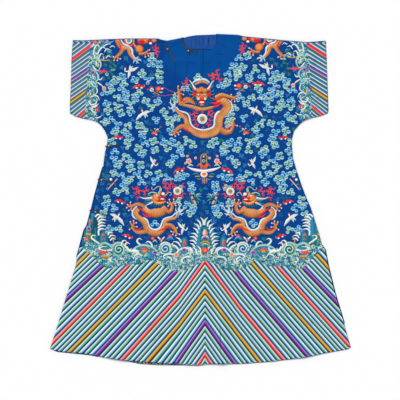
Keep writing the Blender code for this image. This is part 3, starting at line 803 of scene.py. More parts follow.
def coil(x, y, radius, turns, width, names, height, base, start):
    """A ribbon along a spiral that winds out to radius, from near its middle at start degrees."""
    t = np.linspace(0.0, 1.0, max(6, int(9 * turns)))
    angle = np.radians(start) + 2 * np.pi * turns * t
    reach = radius * (COIL_START + (1.0 - COIL_START) * t)
    route = np.stack([x + reach * np.cos(angle), y + reach * np.sin(angle)], 1)
    return ribbon(route, width, names, height, base, columns=4, spacing=0.5 + 0.25 * radius / 3)


def loft(first, second, names, height, rows):
    """A patch between two smooth lines, its rims sunk. names blend from the first line to the second."""
    lines = [curve(route, 0.5) for route in (first, second)]
    count = int(max(np.hypot(*np.diff(line, axis=0).T).sum() for line in lines) / LOFT_SPACE) + 2
    ends = []
    for line in lines:
        at = np.linspace(0, len(line) - 1, count)
        ends.append(np.stack([np.interp(at, np.arange(len(line)), line[:, k]) for k in range(2)], 1))
    t = np.concatenate([[0.0], np.linspace(0.04, 0.96, rows - 2), [1.0]])
    points = ends[0][None] * (1 - t)[:, None, None] + ends[1][None] * t[:, None, None]
    dome = np.full(rows, height)
    dome[[0, -1]] = -SINK
    heights = np.broadcast_to(dome[:, None], points.shape[:2]).copy()
    heights[:, [0, -1]] = -SINK
    colours = np.broadcast_to(shades(names, t)[:, None], (*points.shape[:2], 3))
    return grid_shape(points, heights, colours, points * (SQUARE / MM))


def sew(name, shape, zone, material):
    """The shape as a piece on the cloth of a zone: squares become metres, what lies past the cloth is cut
    off, heights are added to the cloth's face, and faces are turned outwards."""
    x = (shape.points[:, 0] - MIDDLE[0]) * SQUARE
    y = (MIDDLE[1] - shape.points[:, 1]) * SQUARE
    x, y, gone = held_inside(zone, x, y)
    floss = bpy.context.scene.robe_floss
    heights = np.where(gone, -SINK, shape.heights)
    if zone == "back":
        pressed = np.where(heights > 0, 1.0 - np.exp(-heights * floss.back_share), heights / 3)
        z = np.clip(cloth_face(zone, x, y) - UNDERSIDE * pressed, 0.0, None)
    else:
        z = cloth_face(zone, x, y) + heights * MM * floss.height_share
    points = stack(x, y, z)
    faces = shape.faces[~gone[shape.faces].all(1)]
    a, b, c = (points[faces[:, k], :2] for k in range(3))
    turn = (b[:, 0] - a[:, 0]) * (c[:, 1] - a[:, 1]) - (b[:, 1] - a[:, 1]) * (c[:, 0] - a[:, 0])
    broad = np.abs(turn) > SLIVER
    faces, turn = faces[broad], turn[broad]
    wrong = turn > 0 if zone == "back" else turn < 0
    faces[wrong] = faces[wrong][:, ::-1]
    used, numbers = np.unique(faces, return_inverse=True)
    made = piece(name, points[used], numbers.reshape(-1, 3), material)
    colours = np.concatenate([shape.colours[used], np.ones((len(used), 1))], 1)
    attribute = made.data.color_attributes.new(name="thread", type="FLOAT_COLOR", domain="POINT")
    attribute.data.foreach_set("color", colours.astype(np.float32).ravel())
    layer = made.data.uv_layers.new(name="stitches")
    layer.data.foreach_set("uv", shape.stitches[faces].astype(np.float32).ravel())
    return made


# ---- Stripes of the skirt and cuffs ----

# Guide lines of the coloured stripes: where each meets the centre line, and two points further out.
CENTRE_X = 205.0
STRIPES_TO = (46.0, 356.0)  # how far out the skirt's stripes run before they are cut off at the side edges
LEFT_STRIPES = table_of(
    Stripe, ("red", 79, 90, 221, 77, 236), ("gold", 110, 90.2, 251.4, 76.8, 264.8),
    ("purple", 141, 102.7, 265.7, 65.2, 300.5), ("red", 171.5, 127.7, 266.6, 51.8, 343.4),
    ("gold", 202, 158, 263, 69.2, 352.3), ("purple", 232.5, 176.8, 271, 97.3, 355),
    ("red", 261, 179.5, 296, 123.2, 358.6), ("gold", 291.5, 179.5, 324.6, 148.2, 360.4),
    ("purple", 322.5, 190, 343.5, 176.8, 363), ("red", 354, 202, 359, 197, 366),
    ("gold", 385, 202, 390, 197, 397),
)
RIGHT_STRIPES = table_of(
    Stripe, ("red", 79, 315, 223, 328, 237), ("gold", 110, 315, 253.2, 328, 267.5),
    ("purple", 141, 303.4, 268.4, 337.8, 304), ("red", 171.5, 278.4, 267.5, 349.4, 346),
    ("gold", 202, 251.6, 263, 330.2, 351.4), ("purple", 232.5, 240, 278, 307, 355.9),
    ("red", 261, 240, 307.7, 283.8, 359.9), ("gold", 291.5, 240, 337, 259.2, 361.7),
    ("purple", 322.5, 222, 346.5, 234.8, 363.9), ("red", 354, 208, 359, 213, 366),
    ("gold", 385, 208, 390, 213, 397),
)
CUFF_FOLD = 43.0  # level of the shoulder fold, where the cuffs' stripes turn back
CUFF_TURN = 4.0  # squares of the stripes that turn back there
LEFT_CUFF = table_of(
    Stripe, ("gold", 24, 90, 25.6, 72, 38.8), ("red", 45, 91.7, 45.4, 72.7, 59.6),
    ("purple", 66, 89, 68.6, 71.8, 80.2), ("gold", 87, 86.8, 90.4, 70.5, 102),
    ("red", 108, 85.5, 111, 79, 116.7), ("purple", 129, 85, 132, 78, 138),
)
RIGHT_CUFF = table_of(
    Stripe, ("gold", 24, 308, 24.5, 326, 36), ("red", 45, 308.4, 45.3, 326.3, 56.8),
    ("purple", 66, 310.3, 67.6, 327.2, 77.2), ("gold", 87, 312.2, 88.6, 327.9, 98.9),
    ("red", 108, 313.5, 107.8, 321.8, 114.8), ("purple", 129, 314, 129, 322, 136),
)
# Threads of each stripe at the places across it, with a dark groove before its lit side and after its shaded
# one.
STRIPE_SHADES = {
    "red": ("wine", "rose", "rose", "coral", "scarlet", "wine", "wine"),
    "gold": ("brown", "gold", "gold", "gold", "bronze", "brown", "black"),
    "purple": ("plum", "lilac", "purple", "purple", "plum", "plum", "ink"),
    "green": ("black", "cream", "mint", "leaf", "teal", "pine", "black"),
    "blue": ("black", "white", "ice", "sky", "azure", "navy", "black"),
    "cuff red": ("wine", "rose", "coral", "scarlet", "scarlet", "scarlet", "wine"),
    "cuff gold": ("brown", "gold", "gold", "gold", "bronze", "brown", "brown"),
    "cuff purple": ("plum", "lilac", "lilac", "purple", "purple", "plum", "plum"),
    "cuff green": ("pine", "cream", "pale", "pine", "teal", "pine", "black"),
    "cuff blue": ("cobalt", "cream", "ice", "cobalt", "azure", "cobalt", "navy"),
}
BETWEEN = ("green", "blue", "green", "blue")  # the stripes between two coloured ones
GUIDE_STEP = len(BETWEEN) + 1
GUIDE_SPACE = 20  # squares across from one guide line to the next, for the stitches
NEAR_CENTRE = 100.0  # guide lines that start within this of the centre line meet there
ACROSS_STRIPE = (-0.5, -0.4, -0.18, 0.0, 0.16, 0.3, 0.5)  # places across a stripe, in stripes
STRIPE_DOME = (-SINK, 0.8, 1.0, 1.0, 0.9, 0.6, -SINK)  # and their heights in mm


def guide_level(stripe, x):
    """Level of a guide line at x: through its three points, and on at the outer stretch's slope."""
    known = sorted([(stripe.via_x, stripe.via_y), (stripe.far_x, stripe.far_y)])
    if abs(stripe.via_x - CENTRE_X) < NEAR_CENTRE:
        known = sorted([*known, (CENTRE_X, stripe.apex)])
    known = np.array(known)
    outer_slope = (stripe.far_y - stripe.via_y) / (stripe.far_x - stripe.via_x)
    past = np.where((x - stripe.far_x) * np.sign(stripe.far_x - stripe.via_x) > 0, x - stripe.far_x, 0.0)
    level = np.interp(x, known[:, 0], known[:, 1]) + past * outer_slope
    if len(known) == 2:
        within = x - stripe.via_x
        within = np.where(within * np.sign(stripe.via_x - stripe.far_x) > 0, within, 0.0)
        level = level + within * outer_slope
    return level


def striped(guides, columns, kind="", light_first=True):
    """Satin-stitched stripes: every guide line carries a coloured one, with four more evenly between two.
    kind goes before the colours' names in the table of shades."""
    table = np.array([guide_level(guide, columns) for guide in guides])
    made = []
    for number in range(1, GUIDE_STEP * (len(guides) - 1)):
        guide, place = divmod(number, GUIDE_STEP)
        name = BETWEEN[place - 1] if place else guides[guide].thread
        at = (number + np.array(ACROSS_STRIPE)) / GUIDE_STEP
        low = np.clip(at.astype(int), 0, len(guides) - 2)
        share = (at - low)[:, None]
        level = table[low] * (1 - share) + table[low + 1] * share
        points = np.stack([np.broadcast_to(columns, level.shape), level], -1)
        names, dome = STRIPE_SHADES[kind + name], np.array(STRIPE_DOME)
        if not light_first:
            names, dome = names[::-1], dome[::-1]
        colours = np.broadcast_to(np.array([thread(name) for name in names])[:, None], (*level.shape, 3))
        heights = np.broadcast_to(dome[:, None], level.shape)
        slope = np.hypot(1.0, np.gradient(level[2], columns))
        u = np.broadcast_to(np.cumsum(np.abs(np.gradient(columns)) * slope), level.shape)
        v = np.broadcast_to(at[:, None] * GUIDE_SPACE, level.shape)
        made.append(grid_shape(points, heights, colours, np.stack([u, v], -1) * (SQUARE / MM)))
    return join(made)


def skirt(step):
    """Both halves of the skirt's chevrons, from the wave band down past the hem."""
    left = striped(LEFT_STRIPES, np.arange(CENTRE_X, STRIPES_TO[0], -step))
    right = striped(RIGHT_STRIPES, np.arange(CENTRE_X, STRIPES_TO[1], step))
    return [below_line(half, BAND_X, BAND_Y) for half in (left, right)]


def cuff(guides, columns):
    """A cuff's stripes, which turn back at the shoulder fold."""
    front = striped(guides, columns, "cuff ", light_first=False)
    points = front.points.copy()
    low = points[:, 1] < CUFF_FOLD
    points[:, 1] = np.maximum(points[:, 1], CUFF_FOLD)
    heights = np.where(low, -SINK, front.heights)
    faces = front.faces[~low[front.faces].all(1)]
    front = Shape(points, heights, front.colours, front.stitches, faces)
    over = front._replace(points=points * (1, -1) + (0, 2 * CUFF_FOLD))
    near = (points[front.faces, 1] < CUFF_FOLD + CUFF_TURN).any(1)
    return join([front, over._replace(faces=over.faces[near])])


def below_line(shape, line_x, line_y):
    """What of a shape lies below a line of squares, cut off along it."""
    limit = np.interp(shape.points[:, 0], line_x, line_y)
    above = shape.points[:, 1] < limit
    points = np.stack([shape.points[:, 0], np.maximum(shape.points[:, 1], limit)], 1)
    faces = shape.faces[~above[shape.faces].all(1)]
    return shape._replace(points=points, faces=faces, heights=np.where(above, -SINK, shape.heights))


# ---- Clouds ----

# Left half of the clouds: middles of their groups of lobes, green or blue, and how far each is turned.
CLOUDS = table_of(
    Cloud, (142, 73, "green", 10), (135, 80, "blue", -30), (148, 80, "blue", 60), (159, 73, "green", -20),
    (160, 80, "green", 40), (124, 83, "green", 0), (122, 89, "blue", 20), (126, 94, "blue", -60),
    (118, 97, "green", 40), (111, 90, "green", 90), (116, 79.4, "green", -40), (139, 92, "green", 0),
    (136, 98, "blue", 150), (146, 101, "green", -30), (152, 107, "green", 60), (158, 101, "blue", 20),
    (107, 104, "blue", -20), (117, 106, "green", 80), (108, 111, "green", 180), (121, 113, "green", 20),
    (131, 104, "green", -60), (125, 100, "blue", 40), (131, 112, "blue", 100), (111, 119, "blue", 0),
    (118, 125, "blue", -40), (115, 132, "green", 160), (129, 125, "green", 30), (139, 125, "green", -30),
    (125, 132, "blue", 180), (145, 130, "green", 90), (143, 135, "blue", 150), (164, 112, "green", 0),
    (168, 119, "green", -50), (156, 120, "blue", 60), (177, 118, "green", 150), (171, 124, "green", 30),
    (171, 131, "blue", 190), (130, 138, "blue", 10), (128, 145, "green", 70), (138, 148, "green", -20),
    (142, 154, "blue", 170), (146, 143, "blue", 20), (153, 141, "green", -60), (155, 150, "green", 120),
    (167, 149, "green", 200), (164, 142, "blue", -10), (172, 142, "blue", 70), (187, 141, "green", -30),
    (193, 145, "green", 120), (179, 146, "green", 0), (181, 152, "blue", 150), (174, 158, "blue", -30),
    (170, 164, "green", 170), (115, 151, "blue", 0), (114, 159, "blue", 60), (118, 165, "green", 160),
    (125, 156, "green", -30), (131, 161, "blue", 90), (114, 173, "green", 200), (122, 175, "blue", 30),
    (130, 168, "green", -60), (141, 165, "green", 40), (138, 174, "blue", 150), (148, 174, "green", -20),
    (159, 174, "green", 20), (167, 178, "blue", 100), (185, 176, "blue", -30), (129, 180, "green", 180),
    (142, 182, "blue", 0), (155, 181, "blue", -40), (178, 178, "blue", 140), (192, 184, "blue", 50),
    (192, 190, "blue", 170), (117, 192, "green", -20), (126, 190, "green", 30), (124, 184, "blue", 0),
    (107, 199, "green", 30), (106, 206, "blue", 180), (114, 208, "blue", 100), (103, 214, "green", -30),
    (178, 202, "green", 20), (187, 205, "blue", -20), (193, 209, "blue", 150), (190, 214, "green", 190),
    (119, 229, "green", 30), (110, 229, "blue", -10), (155, 223, "blue", 0), (106, 122, "green", 100),
    (112, 142, "green", 20), (180, 188, "green", 30), (113.2, 66, "dull", 10), (109.6, 74.6, "dull", 100),
    (110.6, 84, "blue", 30), (104.6, 93, "blue", 0), (122, 77, "blue", 60), (109, 55, "dull", 0),
)
# Clouds near the main dragon and on the left shoulder, which aren't in both halves.
MORE_CLOUDS = table_of(
    Cloud, (186, 88, "blue", 30), (176.5, 97.8, "green", -40), (198, 76.5, "green", 0), (221, 86, "blue", 20),
    (227.6, 81.6, "green", -30), (239, 57.6, "blue", 0), (234, 65.8, "blue", 60), (243, 67, "green", -20),
    (228.4, 73.6, "blue", 20), (238.4, 73.6, "green", 30), (247.2, 56, "green", 20), (152, 58, "green", 0),
    (151.4, 64.6, "blue", 10), (159.4, 64.4, "blue", 40),
)
NO_MIRROR_BOX = (222.0, 236.0, 90.0, 104.0)  # where the right half shows something else
# Heads of the three kinds of knot, some in the other colour, then the middle of the knot's pale tail.
KNOTS = (
    ((Head(-2.5, 1.0, 1.12, 0), Head(2.5, 0.6, 1.16, 0), Head(-0.1, -2.8, 1.0, 0)), (0.6, 4.0)),
    ((Head(-2.7, -0.4, 1.05, 0), Head(2.7, 0.3, 1.05, 0), Head(0.1, 2.7, 1.0, 1), Head(-0.2, -2.8, 0.95, 0)),
     (-3.6, 3.0)),
    ((Head(0.0, -1.2, 1.2, 0), Head(-2.9, 1.8, 0.95, 0), Head(2.8, 1.9, 1.0, 0)), (0.4, -4.4)),
)
# Threads of the heads from middle to rim, of their slits and lit rims, and of the tails.
CLOUD_SHADES = {
    "green": (("leaf", "leaf", "aqua", "aqua"), "teal", "frost", ("leaf", "aqua", "frost")),
    "blue": (("azure", "azure", "sky", "sky"), "cobalt", "ice", ("leaf", "aqua", "frost")),
    "dull": (("cobalt", "teal", "pine", "pine"), "navy", "teal", ("teal", "leaf", "aqua")),
}
OTHER_KIND = {"green": "blue", "blue": "green", "dull": "blue"}
CLOUD_SIZE = 0.96
HEAD_LAYER, KNOT_LAYER = 0.12, 0.019  # mm from one head of a knot to the next, and from one knot to the next
HEAD_RADIUS, HEAD_STRETCH = 2.05, 1.2
TAILED = (0, 2)  # the knots of every five that have a tail
LIT_FROM, LIT_TO = 25.0, 155.0  # degrees round a head between which its rim catches the light


def cloud_head(kind):
    """A lobed head, wider than high, with a slit in its middle and a lit rim on one side."""
    names, vein, light, _ = CLOUD_SHADES[kind]
    angle = np.radians(np.linspace(LIT_FROM, LIT_TO, 5))
    reach = 0.72 * HEAD_RADIUS
    lit = np.stack([HEAD_STRETCH * reach * np.cos(angle), reach * np.sin(angle)], 1)
    return join([
        disc(0, 0, HEAD_RADIUS, names, 0.8, stretch=HEAD_STRETCH, spokes=15, edge="navy", lobes=5),
        ribbon([(-0.9, 0.25), (0.1, -0.3), (1.1, 0.3)], 0.35, (vein, vein), 0.2, 0.85, 4, 1.2),
        ribbon(lit, (0.4, 1.15, 0.4), (light, light), 0.2, 0.9, 4, 1.4),
    ])


def cloud_tail(kind):
    """A cloud's tail: a pale lens with a dark line along it."""
    _, vein, _, names = CLOUD_SHADES[kind]
    lens = disc(0, 0, 1.2, names, 0.8, spokes=11, stretch=2.1, edge="navy")
    return join([lens, ribbon([(-1.3, 0.1), (1.3, 0.1)], 0.4, (vein, vein), 0.2, 0.9, 4)])


def cloud_field():
    """All clouds of the front, the left half's repeated on the right. Some heads are turned over, so that not
    all catch the light alike."""
    clouds = [*CLOUDS, *MORE_CLOUDS]
    x0, x1, y0, y1 = NO_MIRROR_BOX
    for item in CLOUDS:
        x = 2 * np.interp(item.y, TWIN_LEVELS, TWIN_AXIS) - item.x
        y = item.y + np.interp(item.y, TWIN_LEVELS, TWIN_DROP)
        if not (x0 < x < x1 and y0 < y < y1):
            clouds.append(Cloud(x, y, item.kind, -item.turn))
    heads = {kind: cloud_head(kind) for kind in CLOUD_SHADES}
    tails = {kind: cloud_tail(kind) for kind in CLOUD_SHADES}
    made = []
    for number, item in enumerate(clouds):
        knot, tail = KNOTS[number % len(KNOTS)]
        tilt = 0.25 * (item.turn % 60 - 30)
        x, y = turned(*tail, item.turn)
        parts = []
        if number % 5 in TAILED:
            parts.append(put(tails[item.kind], item.x + CLOUD_SIZE * x, item.y + CLOUD_SIZE * y, tilt))
        for place, head in enumerate(knot):
            x, y = turned(head.x, head.y, item.turn)
            shape = heads[OTHER_KIND[item.kind] if head.other else item.kind]
            lifted = raised(shape, HEAD_LAYER * place + KNOT_LAYER * (number % 6))
            over = 180 * ((number + place) % 3 == 1)
            x, y = item.x + CLOUD_SIZE * x, item.y + CLOUD_SIZE * y
            parts.append(put(lifted, x, y, tilt + over, CLOUD_SIZE * head.size))
        made.append((item, join(parts)))
    return made


# Fillers: threads of their curls and flecks, the box they are strewn over and how far apart they lie.
DULL_THREADS = (
    ("pine", "teal"), ("cobalt", "azure"), ("navy", "cobalt"), ("azure", "cobalt"), ("cobalt", "pine"),
)
FLECK_THREADS = (
    ("navy", "navy"), ("pine", "navy"), ("ink", "navy"), ("navy", "cobalt"), ("cobalt", "azure"),
    ("navy", "pine"),
)
FILLER_BOX = ((95.0, 58.0), (315.0, 240.0))
FILLER_SPACE, FLECK_SPACE = 5.2, 3.3
CURL_SEED, DULL_SEED, FLECK_SEED = 7, 11, 12  # of the random draws that strew them, and the water's curls


def bare(x, y):
    """Whether a place lies in the plain silk round the neck."""
    in_disc = np.hypot(x - PLAIN_MIDDLE[0], y - PLAIN_MIDDLE[1]) < PLAIN_RADIUS + 4
    return in_disc or (PLAIN_LEFT - 1 < x < PLAIN_MIDDLE[0] and y < PLAIN_FOOT)


def fillers(others):
    """Dull little curls strewn over what ground the other shapes leave, outside the plain disc."""
    taken = np.zeros((SHEET, SHEET), bool)
    at = np.concatenate([shape.points for shape in others]).round().astype(int).clip(0, SHEET - 1)
    taken[at[:, 1], at[:, 0]] = True
    small = [join([disc(-1.0, 0.9, 1.35, names, 0.5, spokes=8, edge="navy"),
                   disc(1.1, 0.3, 1.15, names, 0.6, spokes=8, edge="navy"),
                   disc(-0.2, -1.3, 1.1, names[::-1], 0.7, spokes=8, edge="navy")]) for names in DULL_THREADS]
    flecks = [ribbon([(-1.1, 0.3), (0.0, -0.4), (1.1, 0.3)], 1.25, names, 0.4, columns=3, spacing=2.4)
              for names in FLECK_THREADS]
    made = []
    for shapes, spacing, margin, seed in (
        (small, FILLER_SPACE, 2, DULL_SEED), (flecks, FLECK_SPACE, 1, FLECK_SEED)
    ):
        near = np.zeros_like(taken)
        for right, down in np.ndindex(2 * margin + 1, 2 * margin + 1):
            if abs(right - margin) + abs(down - margin) <= margin:
                near |= np.roll(taken, (down - margin, right - margin), (0, 1))
        made += [
            put(raised(shapes[int(pick * len(shapes))], 0.2 * pick), x, y, 3600.0 * pick)
            for x, y, pick in strewn(*FILLER_BOX, spacing, seed)
            if not near[int(y), int(x)] and not bare(x, y)
        ]
    return join(made)


# ---- Sewing ----

STITCH = 0.78  # squares from one stitch to the next
STITCH_WIDTH = 0.24
EDGE_INSET = 0.0035  # metres from a free edge to its row of stitches
CUFF_ROWS = 6  # rows of the side tables that follow the cuff


def in_squares(x, y):
    """Points of the cloth in squares of the drawing."""
    return np.stack([x / SQUARE + MIDDLE[0], MIDDLE[1] - y / SQUARE], -1)


def stitched(route):
    """A row of short stitches along a line of squares."""
    line = curve(route, STITCH)
    half = 0.36 * STITCH
    one = ribbon([(-half, 0.0), (half, 0.0)], STITCH_WIDTH, ("cobalt", "cobalt"), 0.35, 0.05, 4, 1.0)
    run = np.diff(line, axis=0)
    turns = np.degrees(np.arctan2(run[:, 1], run[:, 0]))
    middles = line[:-1] + run / 2
    return join(put(one, x, y, turn) for (x, y), turn in zip(middles, turns))


def sewing():
    """Rows of stitches: down the centre seam, along the overlap's edge, the hem and both cuffs."""
    seam_y = np.linspace(SEAM_TOP[1] - 0.004, SEAM_FOOT[1] + 0.004, 40)
    edge_y = np.linspace(OVERLAP_EDGE[0].y * MM - 0.006, OVERLAP_EDGE[-1].y * MM, 90)
    hem_x = np.linspace(-0.600, 0.600, 60)
    rows = [
        in_squares(seam(seam_y), seam_y),
        in_squares(beside(OVERLAP_EDGE, edge_y) + EDGE_INSET, edge_y - EDGE_INSET),
        in_squares(hem_x, across(FRONT_HEM, hem_x) + EDGE_INSET),
    ]
    cuff_y = np.linspace(RIGHT_EDGE[CUFF_ROWS - 1].y * MM, 0.640, 30)
    left_cuff = in_squares(beside(LEFT_EDGE, cuff_y) - EDGE_INSET, cuff_y)
    right_cuff = in_squares(beside(RIGHT_EDGE, cuff_y) + EDGE_INSET, cuff_y)
    return join(stitched(row) for row in (*rows, left_cuff)), stitched(right_cuff)


HEM_STRIPES = (
    "pine", "cream", "azure", "cream", "teal", "coral", "pine", "mint", "azure", "cream", "pine", "mint",
    "gold",
)


def hem_sliver():
    """Stripes of the under layer, which show past the front hem and slant the other way."""
    return join(
        ribbon([(126.0 + 1.5 * n, 368.0), (118.0 + 1.5 * n, 356.0)], 1.15, (name, name, "black"), 0.7, 0.1, 4)
        for n, name in enumerate(HEM_STRIPES * 4)
    )


# ---- Strokes, patches and the motifs made of them ----

TONGUE = (0.7, 1.0, 0.15)  # how a stroke's width runs along it
LEAF = (0.2, 1.0, 0.2)
# How each part is laid: threads from left to right or from middle to rim, its height and what it lies over,
# in millimetres, the points across it, and how its width runs.
LAYS = {
    "body": Laid(("amber", "orange", "peach", "orange"), 1.8, 0.3, 7, (1.0, 1.0), 1.7, "brown"),
    "limb": Laid(("amber", "orange", "peach"), 1.5, 1.2, 5, (1.0, 0.8), 1.5, "brown"),
    "claw": Laid(("orange", "orange"), 0.8, 1.0, 4, TONGUE),
    "nail": Laid(("cream", "cream", "peach"), 0.7, 1.3),
    "spine": Laid(("ice", "white", "ice"), 1.1, 0.2, 4, (0.5, 1.0, 1.0, 0.5), edge="cobalt"),
    "belly": Laid(("scarlet", "coral", "scarlet"), 0.6, 2.3, 4, LEAF),
    "tuft": Laid(("sky", "white", "cream"), 0.9, 0.5, 4, TONGUE),
    "root": Laid(("azure", "sky", "ice"), 1.0, 0.4),
    "skin": Laid(("orange", "orange", "amber"), 1.6, 1.6, edge="brown"),
    "jaw": Laid(("amber", "orange", "peach"), 1.4, 1.6, 5, (0.8, 1.0, 0.7), edge="brown"),
    "brow": Laid(("amber", "amber"), 0.5, 3.1, 4, LEAF),
    "eye": Laid(("white", "white", "cream"), 0.8, 3.0),
    "pupil": Laid(("black", "black"), 0.4, 3.8),
    "socket": Laid(("teal", "pine", "wine"), 0.4, 3.1),
    "nose": Laid(("coral", "scarlet"), 1.0, 3.0),
    "lips": Laid(("wine", "scarlet", "scarlet"), 0.9, 2.8, 4, (0.8, 1.0, 0.8)),
    "teeth": Laid(("white", "white"), 0.5, 3.5),
    "snout": Laid(("mint", "cream", "leaf"), 1.0, 2.7, 4, (1.0, 0.7)),
    "horn": Laid(("grey", "white", "cream"), 1.2, 1.4, 4, (1.0, 0.7, 0.25)),
    "mane": Laid(("teal", "leaf"), 0.9, 1.3, 4, TONGUE),
    "beard": Laid(("pine", "teal", "azure"), 0.8, 1.5, 4, TONGUE),
    "whisker": Laid(("gold", "cream"), 0.7, 1.2, 4, (1.0, 0.8)),
    "line": Laid(("wine", "coral"), 0.4, 0.1, 4, (1.0, 1.0)),
    "flame": Laid(("coral", "coral", "scarlet"), 1.0, 0.3, 4, (0.8, 1.0, 0.35)),
    "pearl": Laid(("mint", "leaf", "teal", "mint", "cream", "cream"), 1.3, 0.3),
    "swirl": Laid(("scarlet", "coral"), 0.6, 1.4, 4, TONGUE),
    "wing": Laid(("white", "cream", "grey"), 1.0, 0.3, 4, (0.75, 1.0, 0.1), edge="navy"),
    "feather": Laid(("mint", "cream"), 0.8, 0.2, 4, TONGUE),
    "neck": Laid(("white", "cream"), 0.9, 0.5),
    "dark": Laid(("black", "ink"), 0.5, 0.5),
    "red": Laid(("coral", "coral", "scarlet"), 0.9, 0.5, 4, TONGUE),
    "wine": Laid(("coral", "scarlet", "wine"), 1.1, 0.8),
    "spot": Laid(("white", "cream"), 0.8, 0.9),
    "leaf": Laid(("pine", "teal", "leaf"), 0.8, 0.3, 4, LEAF),
    "mint": Laid(("leaf", "mint", "cream"), 0.8, 0.4, 4, LEAF),
    "sky": Laid(("cobalt", "azure", "sky"), 0.8, 0.4, 4, LEAF),
    "gold": Laid(("bronze", "gold", "gold"), 0.9, 0.7, 4, (1.0, 1.0)),
    "reed": Laid(("gold", "cream", "gold"), 0.9, 0.7, 4, (1.0, 1.0)),
    "bud": Laid(("gold", "coral", "scarlet"), 1.0, 0.9),
    "petal": Laid(("coral", "rose", "cream"), 0.9, 0.6),
    "ruby": Laid(("rose", "coral", "scarlet"), 1.1, 0.8),
    "lilac": Laid(("plum", "purple", "lilac"), 1.0, 0.9, 4, LEAF),
    "boat": Laid(("lilac", "cream", "white"), 1.1, 0.5, 5, (0.25, 1.0, 1.0, 1.0, 0.25)),
    "foam": Laid(("pale", "cream", "white"), 1.3, 0.8, 4, (0.8, 1.0, 0.2), edge="pine"),
    "crest": Laid(("cream", "mint", "azure"), 1.2, 0.7, 5, (0.4, 1.0, 0.4), edge="navy"),
    "ring": Laid(("cobalt", "ink", "azure", "cobalt", "azure", "mint", "cream"), 1.1, 0.5, edge="navy"),
    "deep": Laid(("pine", "pine", "teal", "pine", "teal", "leaf", "pale"), 1.1, 0.5, edge="navy"),
}

FLAME = [
    *strokes("flame", (1.5, 0.5, 1.6, -1.5, -0.4, 1.1, -2.6, -1.1, -4.8, 0.8, -7.4),
        (1.05, -1, -0.3, -2.9, -0.4, -2.6, -2.4), (1.05, 0.9, -2.4, 3, -2, 2.6, -4.2)),
]
CRANE = [
    *strokes("wing", (3.4, -0.4, 0.4, 4, -0.9, 9, -3.4), (3.2, 0.2, 0, -0.2, 4, -1.6, 8.2)),
    *strokes("feather", (2.2, 0.2, 0, 0.6, -3, 0.6, -5.4), (2.2, 0.6, 0, 2, -2.6, 3.2, -4.4)),
    *strokes("neck", (1.1, 0.2, 0.4, -2.6, 1.2, -4.5, 0.6, -4.3, -1.2)), Dot("spot", -4.3, -1.3, 0.95),
    Dot("red", -4.3, -2.6, 0.85), *strokes("dark", (0.5, -4.9, -1.1, -6.4, 0.2)),
]
GLIDING_CRANE = [
    *strokes("wing", (3.5, -0.6, 0.2, 3.2, -1.6, 7.6, -2.4), (3.5, 0.6, -0.6, -3.4, 2.4, -7.4, 6.8)),
    *strokes("feather", (2.3, 0, 0, 1.9, 2.2, 2, 4.6), (2.3, 0, 0, 3, 1.4, 4.8, 3)),
    *strokes("neck", (1.1, 0.4, 0.4, -0.6, -1.2, -1, -2.8)), Dot("spot", -1.1, -2.9, 0.9),
    Dot("red", -1.3, -4.1, 0.85), *strokes("dark", (0.5, -1.5, -3, -3, -3.2)),
]
BAT = [
    *strokes("red", (2.5, 0.4, 0, -3.2, 0.6, -6.6, 2.8), (2.5, -0.4, 0, 3.2, 0.7, 5.6, 0.4, 5.3, -1.8)),
    Dot("wine", 0, -0.5, 1.9, 1.35), Dot("spot", -2, 2, 0.95, 1.5), Dot("spot", 2.9, 2, 0.95, 1.4),
]
FIVE_WAYS = ((1, 0), (0.31, 0.95), (-0.81, 0.59), (-0.81, -0.59), (0.31, -0.95))
BLOSSOM = [
    *[Dot("petal", 1.7 * c, 1.7 * s, 1.35) for c, s in FIVE_WAYS], Dot("bud", 0, 0, 1),
]
LOTUS = [
    Dot("bud", 1.5, -1, 2.6, 1.15), Dot("mint", -5.2, 0, 1.9, 1.15), Dot("spot", 5.3, -1.2, 1, 1.3),
    *strokes("mint", (1.6, 2, 2, 4, 2.6, 6, 2)), *strokes("gold", (0.8, -4, 1.6, 0, 3.8, 2.6, 5.6)),
    *strokes("red", (1.3, -7, -2.4, -5.4, -2.8, -3, -2.2), (1.3, -10, 0, -8.6, -0.8, -7, -0.4)),
    *strokes("sky", (1.5, -5, 4.4, -3, 4, -1, 4.6)), *strokes("leaf", (1.3, -1.6, 1.6, 0.6, 1.8, 2, 3.6)),
]
POT = [
    Dot("bud", -0.5, 0.3, 1.7, 1.9), Dot("spot", 1.4, 1.6, 0.7, 1.5), Dot("petal", 2.8, -3.4, 1),
    Dot("red", 5.6, -6, 0.8), Dot("petal", 0, -4, 0.8),
    *strokes("leaf", (1.6, -1, -1.6, -3.6, -2.6, -4.6, -4.4), (1.6, 1, -1, 4, -1.6, 6.8, 0)),
    *strokes("mint", (1.2, 0.4, -1.2, 1.6, -3, 4.4, -4.6)),
]
FLUTE = [
    *strokes("petal", (1.1, 6, -5.4, -3.4, 5.2)), Dot("spot", -0.4, -4.6, 1.4), Dot("red", -0.4, -4.6, 0.8),
    *strokes("leaf", (1.4, -4.4, 1.6, -2, 0, 0, 2)), *strokes("sky", (1.3, -3.6, 7, -4.6, 4.6, -3, 3)),
    *strokes("leaf", (1.2, 1, -1, 3.6, 0, 4.6, 2)),
]
